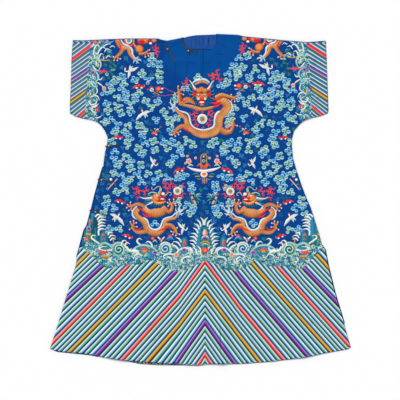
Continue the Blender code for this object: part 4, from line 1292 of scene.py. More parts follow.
SCROLL = [
    *strokes("reed", (2.2, -2.2, -3.6, -0.8, -1.2), (2.2, 0, 0.2, 2, 3.6)),
    *strokes("red", (1.4, -4.2, -6.8, -3.4, -5.4, -2.2, -5)), Dot("leaf", 4.2, -3.8, 1.5, 1.3),
    *strokes("leaf", (2, 1, -2.4, 1.4, -5, 0.6, -7)), *strokes("mint", (1.4, 2, -3, 3.6, -5.4, 6.4, -7)),
    *strokes("leaf", (2, 2.4, -1.4, 5, -0.6, 7.6, 1)), *strokes("sky", (1.4, -2.6, -1.6, -1.6, 1.6, -0.4, 4)),
    *strokes("leaf", (2, 3.4, -2, 6, -3.4, 8.4, -3), (1.8, -3, -0.4, -4.6, 1.4, -5, 3.6)),
    *strokes("sky", (1.6, 4, -5, 6.4, -5.2, 8, -6.6)), *strokes("leaf", (1.8, 3, 1, 4.4, 2, 4.8, 3.8)),
]
PEARL = [
    Dot("pearl", 0, 0, 5.2), Dot("swirl", 0.2, -0.3, 1.3),
    *strokes("swirl", (1.2, 0.6, -1.2, 1.6, 0.4, 0, 1.4, -1.4, 3.6)),
]
MOTIFS = {
    "flame": FLAME, "crane": CRANE, "gliding crane": GLIDING_CRANE, "bat": BAT, "blossom": BLOSSOM,
    "lotus": LOTUS, "pot": POT, "flute": FLUTE, "scroll": SCROLL, "pearl": PEARL,
}

FACE_AXIS = 201.7
HALF_FACE = [
    Dot("skin", 198.8, 96, 3.7), Dot("skin", 198.5, 90.8, 2.8),
    *strokes("brow", (1.3, 196.2, 92.9, 198.4, 91.8, 201, 93.4)), Dot("socket", 198.7, 95.1, 1.7, 1.1),
    Dot("eye", 198.8, 95.1, 1.15, 1.1), Dot("pupil", 199, 95.2, 0.65),
    *strokes("nose", (2.1, 196, 90.8, 192.9, 89.6)), Dot("lips", 194.3, 94.8, 2.2),
    Dot("eye", 194.1, 94.6, 1), Dot("snout", 198.4, 98.9, 1.7, 1.2),
    *strokes("horn", (2.4, 195.8, 89.6, 193.8, 86.8, 192, 83.6, 189.6, 80.5)),
    *strokes("mane", (1.1, 194, 97, 191, 98.6, 189.4, 96.8), (1.1, 194, 92, 190.6, 91.4, 189.2, 88.8),
        (1, 193, 88.6, 190.6, 86.4, 190.2, 83.8), (1, 193.4, 94.4, 189.8, 94.6, 188.2, 92.4)),
    *strokes("beard", (1.3, 195, 99, 191.4, 101.4, 189.6, 100), (1.3, 196, 100.6, 193, 104, 191, 103.2),
        (1.3, 197, 102, 195, 106, 193, 106.2), (1.3, 198.6, 103.4, 197.6, 106.6, 196.2, 107.2)),
]
MIDDLE_FACE = [
    Dot("skin", 201.7, 89.6, 3.1), Dot("skin", 201.7, 96, 2.6),
    *strokes("brow", (0.8, 201.7, 87.6, 201.7, 93)), Dot("nose", 201.8, 98.4, 2.2, 1.15),
    Dot("lips", 201.9, 102.5, 2.1, 1.8), Dot("teeth", 201.9, 102.4, 0.9, 2.9),
    Dot("skin", 201.9, 104.8, 1.2, 2),
    *strokes("beard", (1.3, 200.6, 105, 200.2, 108), (1.3, 202, 105.2, 202, 108.6),
        (1.3, 203.4, 105, 204, 108)),
]
MAIN_DRAGON = [
    *strokes("spine", ((1.4, 2.4, 2.2, 2.2, 1.4), 222.5, 98.8, 227.5, 99.8, 231.2, 103.4, 232, 108,
         230, 111.6, 226, 113, 222, 111.7, 218, 112.4, 215.4, 116, 214.7, 121, 214, 126, 210.5, 128.6,
         204, 130.2, 198, 129.4, 193, 127, 190.5, 123, 189.4, 117, 187, 113.4, 182.5, 111.8, 179, 110.6,
         176.5, 107.2)),
    *strokes("body", ((4.6, 9, 8.8, 8, 8, 8.4, 8.4, 7.4, 6, 5.4, 4.6, 2.4), 216.6, 100.8, 224.4, 101.8,
         227.6, 107.4, 222.6, 113.8, 219.2, 119, 218.4, 127, 213, 132.4, 202, 134.4, 193, 131, 188, 125.4,
         185.8, 118.4, 181.4, 114.6, 174.8, 109),
        ((1.8, 3.4, 4.6, 3.6, 2.4), 178.6, 104.2, 186, 105.6, 192, 107, 202, 109.4, 214, 107)),
    *strokes("spine", (2.6, 192.6, 83, 196.6, 80.4, 202, 79.3, 206.4, 80.2, 209.6, 82.8)),
    *strokes("body", ((1.6, 2.8, 2.8, 1.6), 194.8, 84.8, 198.6, 82.8, 202, 82, 205.6, 82.6, 208.4, 84.4)),
    *strokes("limb", ((1.4, 5.4, 6.2, 3.6), 195, 104, 190.6, 100.6, 186.2, 100, 181.8, 103.8),
        ((4.2, 3.6, 3, 3.4), 182.6, 104, 179.9, 101.6, 179.3, 96.6, 179.2, 90.4)),
    *strokes("belly", (1.6, 180.9, 95.4, 181.8, 99, 184, 101.6, 186.4, 98.8)),
    *strokes("limb", ((4.4, 5, 3.4, 2.6), 215.4, 98, 221.4, 95.4, 228.4, 96.6, 234.6, 98.4)),
    *strokes("belly", (2.8, 211.8, 98.8, 216, 99.6, 222, 98.4), (2.8, 210.8, 102.8, 216, 103.4, 221.4, 101.8),
        (2.8, 212.2, 107.2, 217, 106, 221, 103.8)),
    *strokes("limb", ((6.2, 4.2, 3), 187.6, 126.6, 181.4, 126.4, 177, 129, 174.6, 132.8)),
    *strokes("belly", (1.8, 178.6, 128.6, 181.6, 127, 185.4, 129.6, 190, 132, 195, 133.8)),
    *strokes("limb", ((6.4, 6, 4, 3, 3.2), 220.4, 130, 226, 132.6, 231, 131, 233, 127, 233.2, 122.4)),
    *strokes("belly", (1.8, 223, 127.6, 227.6, 128.6, 231.4, 126.6)), Dot("root", 174.2, 108.6, 2.4, 1.3, 50),
]
MAIN_WRISTS = fans(
    (179.2, 90.8, 178.2, 86.4, 182, 87.4, 184, 90.8, 183.4, 94.6, 175, 93.4),
    (234, 98.3, 231.2, 94.8, 236.8, 98.6, 234.6, 101.6, 231, 102.2, 237, 96),
    (175, 132.2, 172, 135, 175.4, 136.2, 178.6, 134.6, 180.4, 131.4, 172, 131),
    (233.2, 123, 229, 121.8, 231, 118.8, 234.8, 118.8, 237.2, 125.8, 229, 124.6),
)
MAIN_TUFT = fans(
    (174.2, 108.4, 171.2, 97.4, 173.4, 99.8, 175.2, 102.6, 168.8, 102.6, 167.8, 106.4, 169, 109.4,
     172.6, 112.6)
)
MAIN_FLAMES = [
    Place("pearl", 202.3, 119),
    *places("flame", (196, 115.6, -70, 0.95), (197.4, 112.8, -30, 0.6), (208.8, 115.4, 70, 0.95),
        (210, 112.2, 20, 0.7), (196, 119.6, -95, 0.6), (209, 120.4, 95, 0.6), (197.8, 124.6, -95, 0.75),
        (203, 127, 180, 0.5), (207, 124.6, 95, 0.75), (202.4, 113.4, 0, 0.45), (188.6, 84.6, -75, 1),
        (186.6, 81.6, 5, 0.6), (213.4, 77.4, -60, 0.9), (214.6, 76.4, 30, 1.15), (217.6, 79.4, 95, 0.9),
        (213.2, 81.6, -20, 0.5)),
]

SIDE_BEARD = [
    Stroke("beard", 1.5, [(x, 203.2), (x - 0.4, 205.4), (x - 1.2, 207.8 - 0.05 * (x - 158) ** 2)])
    for x in (152, 154.4, 156.8, 159.2, 161.6, 164)
]
SIDE_DRAGON = [
    *strokes("spine", ((1.4, 2.2, 2, 1.3), 137.4, 206.6, 135, 207.9, 132.7, 211.8, 133.2, 216.4, 137.2, 218.7,
         143, 218.2, 146.8, 220, 148.2, 223.6, 149.6, 227.2, 153, 229.4, 156.7, 229.5, 160, 227.6,
         161.8, 223.6, 163.6, 219.6, 167.6, 217.6, 172.2, 216.4, 175.8, 212.7)),
    *strokes("body", ((5.4, 5.6, 5.4, 5.8, 6, 6.4, 6.6, 5.4, 4.2, 3.6, 2.8, 1.8), 138, 208.4, 135.8, 212,
         137, 216, 142, 220, 145, 223.6, 146.3, 228, 149.8, 231.8, 155.8, 233.2, 161.4, 231, 164.4, 226.6,
         165.8, 221.4, 170, 219.2, 175, 218.2, 178.2, 213.6)),
    *strokes("spine", (2, 144.8, 204.6, 147, 208.8, 151.2, 211, 155.6, 212.6, 158.4, 210.8, 156, 209)),
    *strokes("body", ((3.6, 6.4, 9.6, 9, 6), 143, 208, 148.6, 212.4, 155.6, 213, 162.4, 211.4, 166, 207)),
    *strokes("belly", (1.8, 138.6, 206.8, 142, 210, 147, 213.4, 151.2, 214),
        (1.8, 142, 212.8, 146, 216.2, 152, 217)),
    Dot("root", 178.2, 213.4, 2.2, 1.3, -30),
    *strokes("limb", ((4.6, 3.6, 2.8), 165, 210.6, 169.6, 211.8, 172, 208.6, 172, 203.4)),
    *strokes("belly", (2, 166.4, 209, 168.4, 211.4, 169.6, 208.6)),
    *strokes("limb", ((4, 3.6, 2.4), 145, 206.4, 139, 204, 134.5, 204.8, 131.4, 206.9),
        ((3, 4.6, 4, 2.8, 3), 149, 230.2, 143.6, 231.6, 137.6, 232, 133.4, 228.8, 132.7, 224.6)),
    *strokes("belly", (1.6, 135.4, 228.6, 138.6, 229.8, 142, 227.4)),
    *strokes("limb", ((4.6, 4.4, 2.8), 165.4, 225.4, 170.8, 225.6, 174.8, 229.2, 176, 232)),
    *strokes("belly", (1.8, 157, 231.4, 162.6, 229.2, 166.4, 227.8, 170.8, 228.8)),
    Dot("skin", 156.8, 197.4, 4.3, 1.2),
    *strokes("jaw", (3.4, 152.4, 198.8, 156.4, 203, 161.6, 203, 165.6, 201)),
    *strokes("snout", (3.2, 158.6, 194.4, 160.4, 191, 160.6, 187.8)), Dot("eye", 163.2, 193.8, 1.6, 1.2),
    Dot("nose", 160.6, 192.4, 1.5),
    *strokes("lips", (2.4, 158, 197.2, 161.4, 198, 166, 196.8),
        (1.8, 158.8, 199.4, 162, 200.8, 165.8, 199.8)),
    Dot("teeth", 162.4, 199, 0.7, 3.2), Dot("eye", 157.4, 195.7, 1.25), Dot("pupil", 157.7, 195.8, 0.6),
    *strokes("brow", (1, 155, 194, 157.6, 193.6, 159.4, 194.8)),
    *strokes("snout", (1.6, 156.6, 193.4, 152.2, 192.4, 148.2, 194.2)), Dot("nose", 152.2, 200.4, 1.2),
    *strokes("horn", (2.6, 152.4, 197.6, 147, 198.4, 143, 198.2, 140, 196.8),
        (2.2, 153.8, 201.4, 150.4, 203.2, 145.8, 205.6)),
    *strokes("whisker", (0.7, 160.8, 189, 160, 186.6, 156.6, 187.2, 154.2, 189.6, 151.8, 189, 152, 187),
        (0.7, 163.4, 195.4, 166.4, 194.8, 168.4, 192.4, 171, 192.8, 171.2, 195, 169.6, 195.2)),
    *strokes("mane", (1.2, 152, 195.6, 148.6, 195.2, 146.6, 197.4),
        (1.2, 151.6, 199.6, 147.6, 200.6, 144.6, 200), (1.2, 151.6, 201.6, 147.4, 203, 144.6, 203)),
    *SIDE_BEARD,
]
SIDE_WRISTS = fans(
    (172, 203.8, 169.4, 199.6, 173.8, 199.4, 167.6, 202.6, 168.2, 206, 175.8, 205.6),
    (131.8, 206.7, 130.6, 202.2, 126.8, 207.8, 128.8, 210.6, 132, 210.6, 127.6, 204.6),
    (132.7, 225.2, 130.4, 221.8, 133.6, 220.8, 136.4, 222.8, 137, 226.8, 129.6, 229.4),
    (175.8, 231.4, 177.2, 227.8, 179.6, 234.4, 175.8, 235.6, 172.8, 234.6, 171.2, 231.4),
)
SIDE_TUFT = fans(
    (178.2, 213.4, 182, 204.8, 179, 205.4, 176, 207.4, 184, 206.6, 184.8, 209.4, 184.2, 212.8, 182, 215.8,
     178.4, 217.6)
)
SIDE_FLAMES = [
    Place("pearl", 177.4, 191, 0, 0.82),
    *places("flame", (138, 190.6, -60, 0.95), (139.6, 193, -10, 0.8), (145.4, 192.4, 15, 0.95),
        (138.6, 196.6, -150, 0.6), (136.4, 194, -70, 0.5), (144.6, 193.4, 170, 0.5),
        (166.4, 186.6, -35, 0.95), (170.6, 185.4, 10, 0.8), (173.4, 187.4, 45, 0.6),
        (168.6, 187.4, -160, 0.8), (182, 188.6, 15, 0.8), (179.4, 196.2, 65, 0.95), (176.4, 196.8, -110, 0.6),
        (174, 195.4, 100, 0.4)),
]
SHOULDER_DRAGON = [
    *strokes("spine", (2.2, 120.6, 37, 121.6, 41, 124, 44.2, 128.4, 46, 132, 49.8, 132.7, 54.6, 135.6, 58.6)),
    *strokes("body", ((5.4, 5.2, 5, 4, 3.6, 2), 117, 36, 118.2, 43, 122.4, 47.8, 128, 48.6, 129.8, 53.6,
         134.4, 60)),
    *strokes("limb", ((5, 3.6, 3), 122.8, 48.4, 120.4, 53, 116.4, 57)),
    *strokes("belly", (1.8, 118, 41, 120.8, 47, 119.4, 53)),
    *strokes("body", ((2, 2, 3), 133.8, 37, 133.8, 44, 137, 48.4)), Dot("skin", 139.4, 49, 4.2, 1.1, 30),
    *strokes("limb", ((3.4, 3, 2.2), 138.6, 53.6, 142.4, 54, 146.6, 52.6)),
    Dot("root", 136.4, 59.6, 1.8, 1.2, 40), Dot("skin", 143.6, 40, 4.4, 1.5),
    Dot("lips", 141.4, 42, 2.6, 1.5), Dot("eye", 150.6, 43.4, 1.3, 1.3), Dot("pearl", 128.8, 40.6, 3.6),
    *strokes("flame", (2, 124.4, 38.6, 125.2, 41.8, 128, 44.6), (2, 133, 44, 130.8, 46.2, 128.4, 44.6)),
    Dot("lips", 149, 41, 1.6), Dot("skin", 154, 40.6, 2.2, 1.4),
]
SHOULDER_WRISTS = fans(
    (116.8, 56.6, 113.4, 57, 114.2, 60.4, 117.4, 60.6, 120.4, 59),
    (146.4, 52.8, 149.4, 50, 150.4, 53.4, 148.6, 56, 145.4, 57),
)
SHOULDER_TUFT = fans((136.2, 59.4, 139.4, 57, 141.4, 59.4, 141.8, 61.6, 139.4, 63.6, 136.2, 64, 133.4, 63.6))
SHOULDER_FLAMES = [
    *places("flame", (156, 50.6, 0, 0.9), (156.6, 51.4, 175, 0.85), (153.6, 47.6, -100, 0.4)),
]

EMBLEM = [
    *strokes("boat", (3, 187, 166.8, 193.5, 169.6, 203.8, 171.2, 213.8, 169.6, 220.6, 167)),
    *strokes("lilac", (1, 197, 168.4, 203.8, 169.2, 210.8, 168.4)),
    *strokes("mint", (2, 188, 166.2, 190.6, 164.8, 193.4, 166), (2, 214, 166, 217, 164.8, 219.8, 166.2)),
    *strokes("red", (3.2, 203.8, 167.8, 200.2, 164.6, 197, 166.2),
        (3.2, 203.8, 167.8, 207.4, 164.6, 210.6, 166.2)),
    *strokes("gold", (1.2, 203.6, 153.6, 200.8, 156.4, 201, 161, 200.6, 165, 201.4, 168.4),
        (1.2, 203.6, 153.6, 206.6, 156.4, 206.4, 161, 207, 165, 206.2, 168.4)),
    Dot("ring", 203.7, 161, 1.7), Dot("mint", 203.7, 156.6, 1), Dot("spot", 204, 174.4, 3.2, 1.15),
    Dot("bud", 204, 174.2, 1.9, 1.2),
    *strokes("lilac", (2.6, 202.6, 177.8, 202.4, 183.6), (2.6, 206.2, 177.8, 206.4, 183.6)),
    *strokes("gold", (1.6, 204.4, 178, 204.4, 183.6), (1.3, 195.2, 176.6, 199.6, 176.4),
        (1.3, 208.8, 176.4, 213.2, 176.6)),
    *strokes("leaf", (1.6, 192.4, 174.6, 196, 173.6, 199.4, 175),
        (1.6, 215.8, 174.6, 212.2, 173.6, 208.8, 175)),
    *strokes("sky", (1.3, 196.4, 178.6, 200, 179.4, 201.4, 177.4),
        (1.3, 211.8, 178.6, 208.2, 179.4, 206.8, 177.4)),
]

# What is in both halves, in the left one's places.
PAIRED = [
    *SIDE_FLAMES, *SHOULDER_FLAMES, Place("crane", 129.5, 70.5), Place("gliding crane", 143.3, 113.8),
    Place("crane", 154, 163, 40, 0.8, True), Place("gliding crane", 117.5, 217.5, 8, 1.05, True),
    Place("crane", 183.4, 228, 25, 0.85, True),
    *places("bat", (138.8, 86), (118, 137, 6, 0.8), (179, 169.6, -14, 0.95), (120.4, 201, 20, 0.85),
        (128, 235.6, 24, 0.85)),
    Place("lotus", 157, 90), Place("pot", 155, 133), Place("flute", 111.4, 184), Place("scroll", 193.6, 200),
    *places("blossom", (188.8, 161.2, 10, 1), (185.4, 163.4, 0, 0.4), (187.6, 156.2, 0, 0.45),
        (195.6, 158, 0, 0.5), (104.2, 88.4, 0, 0.75)),
]
# Twins in the two halves, at these levels: half the sum of their x, and how much lower the right one is.
TWIN_LEVELS = (45, 70, 86, 115, 135, 163, 200, 260)
TWIN_AXIS = (199.4, 198.6, 198.6, 199.4, 200.6, 203.0, 204.1, 204.1)
TWIN_DROP = (-1.5, -3.0, -3.0, -3.5, 0.4, 0.0, 0.4, 0.0)
LOOSE_LINES = [
    *strokes("line", (0.5, 163, 87, 169, 90.4, 175, 92.5), (0.5, 163.7, 96, 174, 94.5),
        (0.5, 154, 82, 159, 80.8), (0.5, 152, 97, 158, 95.6, 164, 95.8)),
]
LAYER = 0.04  # mm from one shape that crosses others to the next
NAIL_RADIUS, CLAW_WIDTH, TUFT_WIDTH = 0.85, 1.5, 1.4  # squares
FAN_BOW, FAN_BEND = 0.16, 0.55  # how far a fan's strokes bow, of their length, and how far along
BIG_DOT = 1.6  # radius from which a patch gets more spokes


def draw(items, lift=0.0):
    """The shapes of a list of strokes and patches, all laid lift millimetres higher."""
    made = []
    for number, item in enumerate(items):
        lay = LAYS[item.lay]
        lay = lay._replace(base=lay.base + lift + LAYER * (number % 8))
        if isinstance(item, Dot):
            spokes = 10 if item.radius < BIG_DOT else 18
            made.append(disc(item.x, item.y, item.radius, lay.threads, lay.height, lay.base, item.turn,
                             item.stretch, spokes, lay.edge))
        else:
            widths = item.width if isinstance(item.width, tuple) else item.width * np.array(lay.taper)
            made.append(ribbon(item.route, widths, lay.threads, lay.height, lay.base, lay.columns,
                               scales=lay.scales, edge=lay.edge))
    return join(made)


def twin(shape):
    """The same shape in the right half, where that one has slipped to as the robe lies."""
    level = (shape.points[:, 1].min() + shape.points[:, 1].max()) / 2
    axis, drop = np.interp(level, TWIN_LEVELS, TWIN_AXIS), np.interp(level, TWIN_LEVELS, TWIN_DROP)
    return shape._replace(points=shape.points * (-1, 1) + (2 * axis, drop))


def placed(places):
    """The motifs of a list of places."""
    made = {key: draw(items) for key, items in MOTIFS.items()}
    return [
        put(raised(made[p.motif], 0.45 * LAYER * (number % 7)), p.x, p.y, p.turn, p.size, p.flip)
        for number, p in enumerate(places)
    ]


def spread(lay, width, tips):
    """Strokes that fan out from wrists or from a tail's root to their tips, each bowed a little."""
    made = []
    for x, y, ends in tips:
        for number, (to_x, to_y) in enumerate(ends):
            bow = FAN_BOW * (-1) ** number
            along, up = to_x - x, to_y - y
            middle = (x + FAN_BEND * along + bow * up, y + FAN_BEND * up - bow * along)
            made.append(Stroke(lay, width, [(x, y), middle, (to_x, to_y)]))
    return made


def dragon(table, wrists, tuft):
    """One dragon: its table's strokes, five-clawed feet and the hairs of its tail."""
    nails = [Dot("nail", x, y, NAIL_RADIUS) for _, _, tips in wrists for x, y in tips]
    return draw([*table, *nails, *spread("claw", CLAW_WIDTH, wrists), *spread("tuft", TUFT_WIDTH, tuft)])


def main_dragon():
    """The dragon that faces front, with its pearl and flames."""
    half = draw(HALF_FACE)
    parts = [dragon(MAIN_DRAGON, MAIN_WRISTS, MAIN_TUFT), draw(MIDDLE_FACE), half, mirrored(half, FACE_AXIS)]
    return join([*parts, *placed(MAIN_FLAMES)])


# ---- Waves, foam and hills of the skirt band and the cuffs ----

# Lower rim of the band's water, where the stripes begin.
BAND_X = (
    84, 86.6, 102.7, 110.7, 127, 139, 153.6, 159, 175, 185.7, 200, 205, 211, 224, 234, 248, 255, 269.5,
    282, 297, 302.5, 309.6, 317.7, 322,
)
BAND_Y = (
    247, 249, 265.7, 267.5, 264, 264, 258.6, 263, 271, 270, 261, 259, 261, 269, 270, 265, 258.6, 265.7,
    265, 269, 267.5, 260.4, 251.4, 248,
)
# Upper rim of the band's water in the left half.
BAND_TOP = pairs(
    83, 237, 88, 238, 92, 242, 98, 243.4, 105, 242, 112, 244, 119, 243, 127, 247, 133, 249.4, 140, 246,
    147, 243.4, 152, 246, 158, 244, 165, 242.4, 172, 244.4, 178, 247, 184, 245, 190, 247.4, 196, 249,
    204.1, 250,
)
WAVE_AXIS = 204.1
WAVES = [
    Dot("deep", 118.8, 249.3, 8), Dot("ring", 165.4, 248.6, 7.4),
    *strokes("foam", (2.1, 99.5, 243.6, 95, 240.6, 91.6, 237.6, 93.2, 235.2, 96.4, 236.2)),
    *strokes("crest", (2.8, 97.6, 249.4, 100.5, 244.6, 105, 242.8, 110, 244.8, 113, 249)),
    *strokes("foam", (2, 112.4, 249.8, 104, 250.6, 99.4, 248.8, 102, 246.8, 106.8, 246.6),
        (1.8, 121.6, 245.6, 122, 242.6, 124.2, 240.4, 127, 241.6),
        (1.8, 126.2, 248, 125.4, 244.8, 127.2, 242.6, 130, 244),
        (2.8, 126.4, 246.6, 129.4, 250.6, 135, 251.4, 139.4, 253.8, 141.8, 257),
        (1.8, 139, 251, 134, 249.8, 130.2, 250.2, 131.8, 248), (1.7, 139.8, 253.6, 136, 254.8, 133.4, 257.4),
        (1.6, 112, 257, 110, 260.4, 113.6, 262),
        (2, 142, 245.4, 138.6, 243.4, 137.2, 240.6, 139.4, 238.4, 142, 239.8)),
    *strokes("crest", (2.6, 131, 250.8, 136.4, 246.8, 143, 244.8, 150, 246, 156, 249.8, 158.6, 253.4)),
    *strokes("foam", (2, 152.6, 247.2, 151.2, 243.4, 148, 241.4, 145.4, 243),
        (2, 176, 254.6, 168, 254, 163.4, 256.2, 165.4, 258.2, 168.6, 257),
        (1.8, 168, 256.6, 171.6, 259.4, 169.8, 263)),
    *strokes("mint", (1.6, 152.6, 242.4, 155, 240.2, 157.2, 242.6)),
    *strokes("foam", (2, 176.4, 253, 180, 249.6, 186, 248, 190.8, 251, 190, 255.4, 186.4, 256.4),
        (1.8, 190.6, 256.8, 184.6, 257.2, 182, 260.4, 184.8, 264.4), (1.6, 157.6, 236.8, 161.4, 240.4),
        (1.6, 164.6, 236.8, 161.4, 240.6, 161.4, 243), (1.8, 181.4, 242.4, 179.4, 239, 175.8, 237.4),
        (1.8, 180.6, 246, 177.6, 242.4, 173, 241.4), (2, 179, 250.4, 176, 246.4, 171.8, 244.4, 173.8, 242.6),
        (1.8, 192.8, 252.6, 191.4, 248.8, 187, 246.4), (1.8, 197, 254, 196, 249.6, 192.4, 247),
        (1.8, 200.6, 253.4, 200.2, 248.6, 196.6, 245.6), (2, 203.6, 225, 203.2, 220.8, 200.4, 217.2),
        (2, 200.8, 226.6, 200, 222.6, 196.6, 219.4), (2, 199.2, 229.4, 198, 225.8, 194.2, 223.4),
        (2, 198.2, 233.2, 196.6, 229.8, 193, 227.6), (2, 197.6, 237, 195, 233.8, 191.2, 233.2),
        (2, 196.8, 240.4, 194, 237, 189.6, 236.6), (2, 196.2, 243.8, 193.6, 240.8, 189.4, 240.6),
        (2, 195, 247.4, 193, 244.4, 190, 243.4), (2, 95.4, 217, 98, 214.6, 101.2, 215.4),
        (2.1, 97.4, 219.8, 100, 217, 104.4, 217.4), (2.1, 98.4, 222, 101.6, 219.6, 106.6, 220.2),
        (2.1, 98.2, 225.2, 101, 222.6, 105.6, 223.2), (2.1, 98.2, 228.2, 101.4, 225.6, 106.4, 226.2),
        (2.2, 99, 235.4, 98.8, 231, 101.4, 228.8, 105.8, 229.6),
        (1.7, 108.2, 235.2, 109.6, 232.6, 113.2, 233), (1.7, 109.2, 238, 111.4, 235.4, 115.4, 236),
        (1.7, 110.2, 240.6, 112.6, 238.4, 115.8, 239.4)),
    *strokes("gold", (1.3, 116, 236.4, 113.4, 239.4, 113.8, 243.4)), Dot("bud", 152.8, 238.4, 1.9),
    *strokes("red", (1.8, 168, 237.6, 170.2, 235, 172.2, 237.4)),
    *strokes("sky", (3, 166.4, 239.6, 170.6, 237.6, 174, 240)),
]
CORAL_FAN = [
    Stroke("red", 2.0, [(144.6, 251.6), (144.6 + 3.4 * out, 251.2 - 4.0 * up)])
    for out, up in ((-1.15, 0.1), (-0.8, 0.75), (-0.1, 1.0), (0.65, 0.85), (1.1, 0.3))
]
# Jewels, corals and peaks that stand over the water and the hills.
WAVE_JEWELS = [
    *strokes("red", (3.2, 90.6, 224.4, 90.8, 221.6, 91.2, 219.8)), Dot("lilac", 89, 228.6, 2.2, 1.25, 40),
    *strokes("gold", (3, 85.8, 234.6, 90.8, 234.8)), Dot("ruby", 86.8, 239.4, 2.3),
    Dot("ruby", 103.6, 234.8, 1.5), Dot("lilac", 103.6, 239.4, 1, 1.6), Dot("gold", 144.6, 251.4, 1.5, 1.5),
    Dot("ruby", 149.4, 251.2, 1), *CORAL_FAN, Dot("lilac", 155, 252.4, 1.9, 1.7),
    Dot("lilac", 184, 249.9, 2.2, 1.25),
    *strokes("red", (3.4, 99.6, 252.6, 103.4, 252, 107.8, 253), (1.8, 100.6, 249.8, 102, 252),
        (1.8, 106.8, 250, 105.8, 252)),
    *strokes("gold", (3, 101.4, 256.6, 108.6, 256.8)),
    *strokes("red", (3.2, 184.4, 245.2, 184.5, 242.4, 184.6, 240.2)), Dot("lilac", 184.4, 246.4, 0.8, 2),
    *strokes("red", (1.4, 159.6, 241, 161.4, 239, 163.4, 240.8)), Dot("ruby", 127, 243.8, 0.9),
]
WAVE_LIFT = 0.9  # mm that the jewels are raised over where they would lie on bare silk
SPIRALS = [(118.8, 249.3, 5.4, 1.6), (165.4, 248.6, 5.0, 1.5)]  # x, y, radius and turns
# X, y and radius of the smooth water that no curl covers.
CALM = (
    (118.8, 249.3, 7.2), (165.4, 248.6, 6.6), (105.4, 247.4, 4.6), (143.6, 250.2, 5.2), (152.0, 251.4, 4.4),
    (184.4, 250.4, 4.0),
)
HILLS = table_of(
    Hill, (184.5, 251, 3.6, 236.2), (91, 246, 8.6, 212.4), (103.6, 246, 4.4, 230.2),
)
MIDDLE_HILL = Hill(205.2, 256, 9.5, 222.8)
# Threads of a hill's layers from the outside in, and the arch of each: -1 to 1 across, 0 to 1 down.
HILL_SHADES = ("azure", "pine", "teal", "cobalt", "leaf", "teal", "pine", "teal")
HILL_ARC = pairs(-1, 1, -1, 0.36, -0.78, 0.14, -0.4, 0.03, 0, 0, 0.4, 0.03, 0.78, 0.14, 1, 0.36, 1, 1)
HILL_MIDDLE = [
    *strokes("petal", ((5.6, 4.6, 2), 205.1, 234.6, 205.1, 231.8, 205.1, 229.4)),
    *strokes("red", ((5.6, 5.4), 205.1, 234.8, 205.1, 232.6)),
    *strokes("lilac", ((1.4, 3.4, 1.4), 201.2, 240, 205.1, 236.9, 209, 240)),
    *strokes("boat", ((0.8, 1.2, 0.8), 201.8, 237.6, 205.1, 235.8, 208.6, 237.6)),
    *strokes("gold", (1.7, 200.2, 243.6, 205.1, 241.6, 210, 243.6)),
    *strokes("mint", (1.7, 200.4, 245.6, 205.1, 243.8, 209.8, 245.6)), Dot("ruby", 205.1, 250.4, 2.9, 1.3),
    Dot("spot", 205.1, 250.5, 1, 1.6), *strokes("mint", (1.2, 200, 254.4, 205.1, 256.4, 210, 254.4)),
    *strokes("sky", (1.4, 201.4, 257, 205.1, 258.6, 208.8, 257)),
]
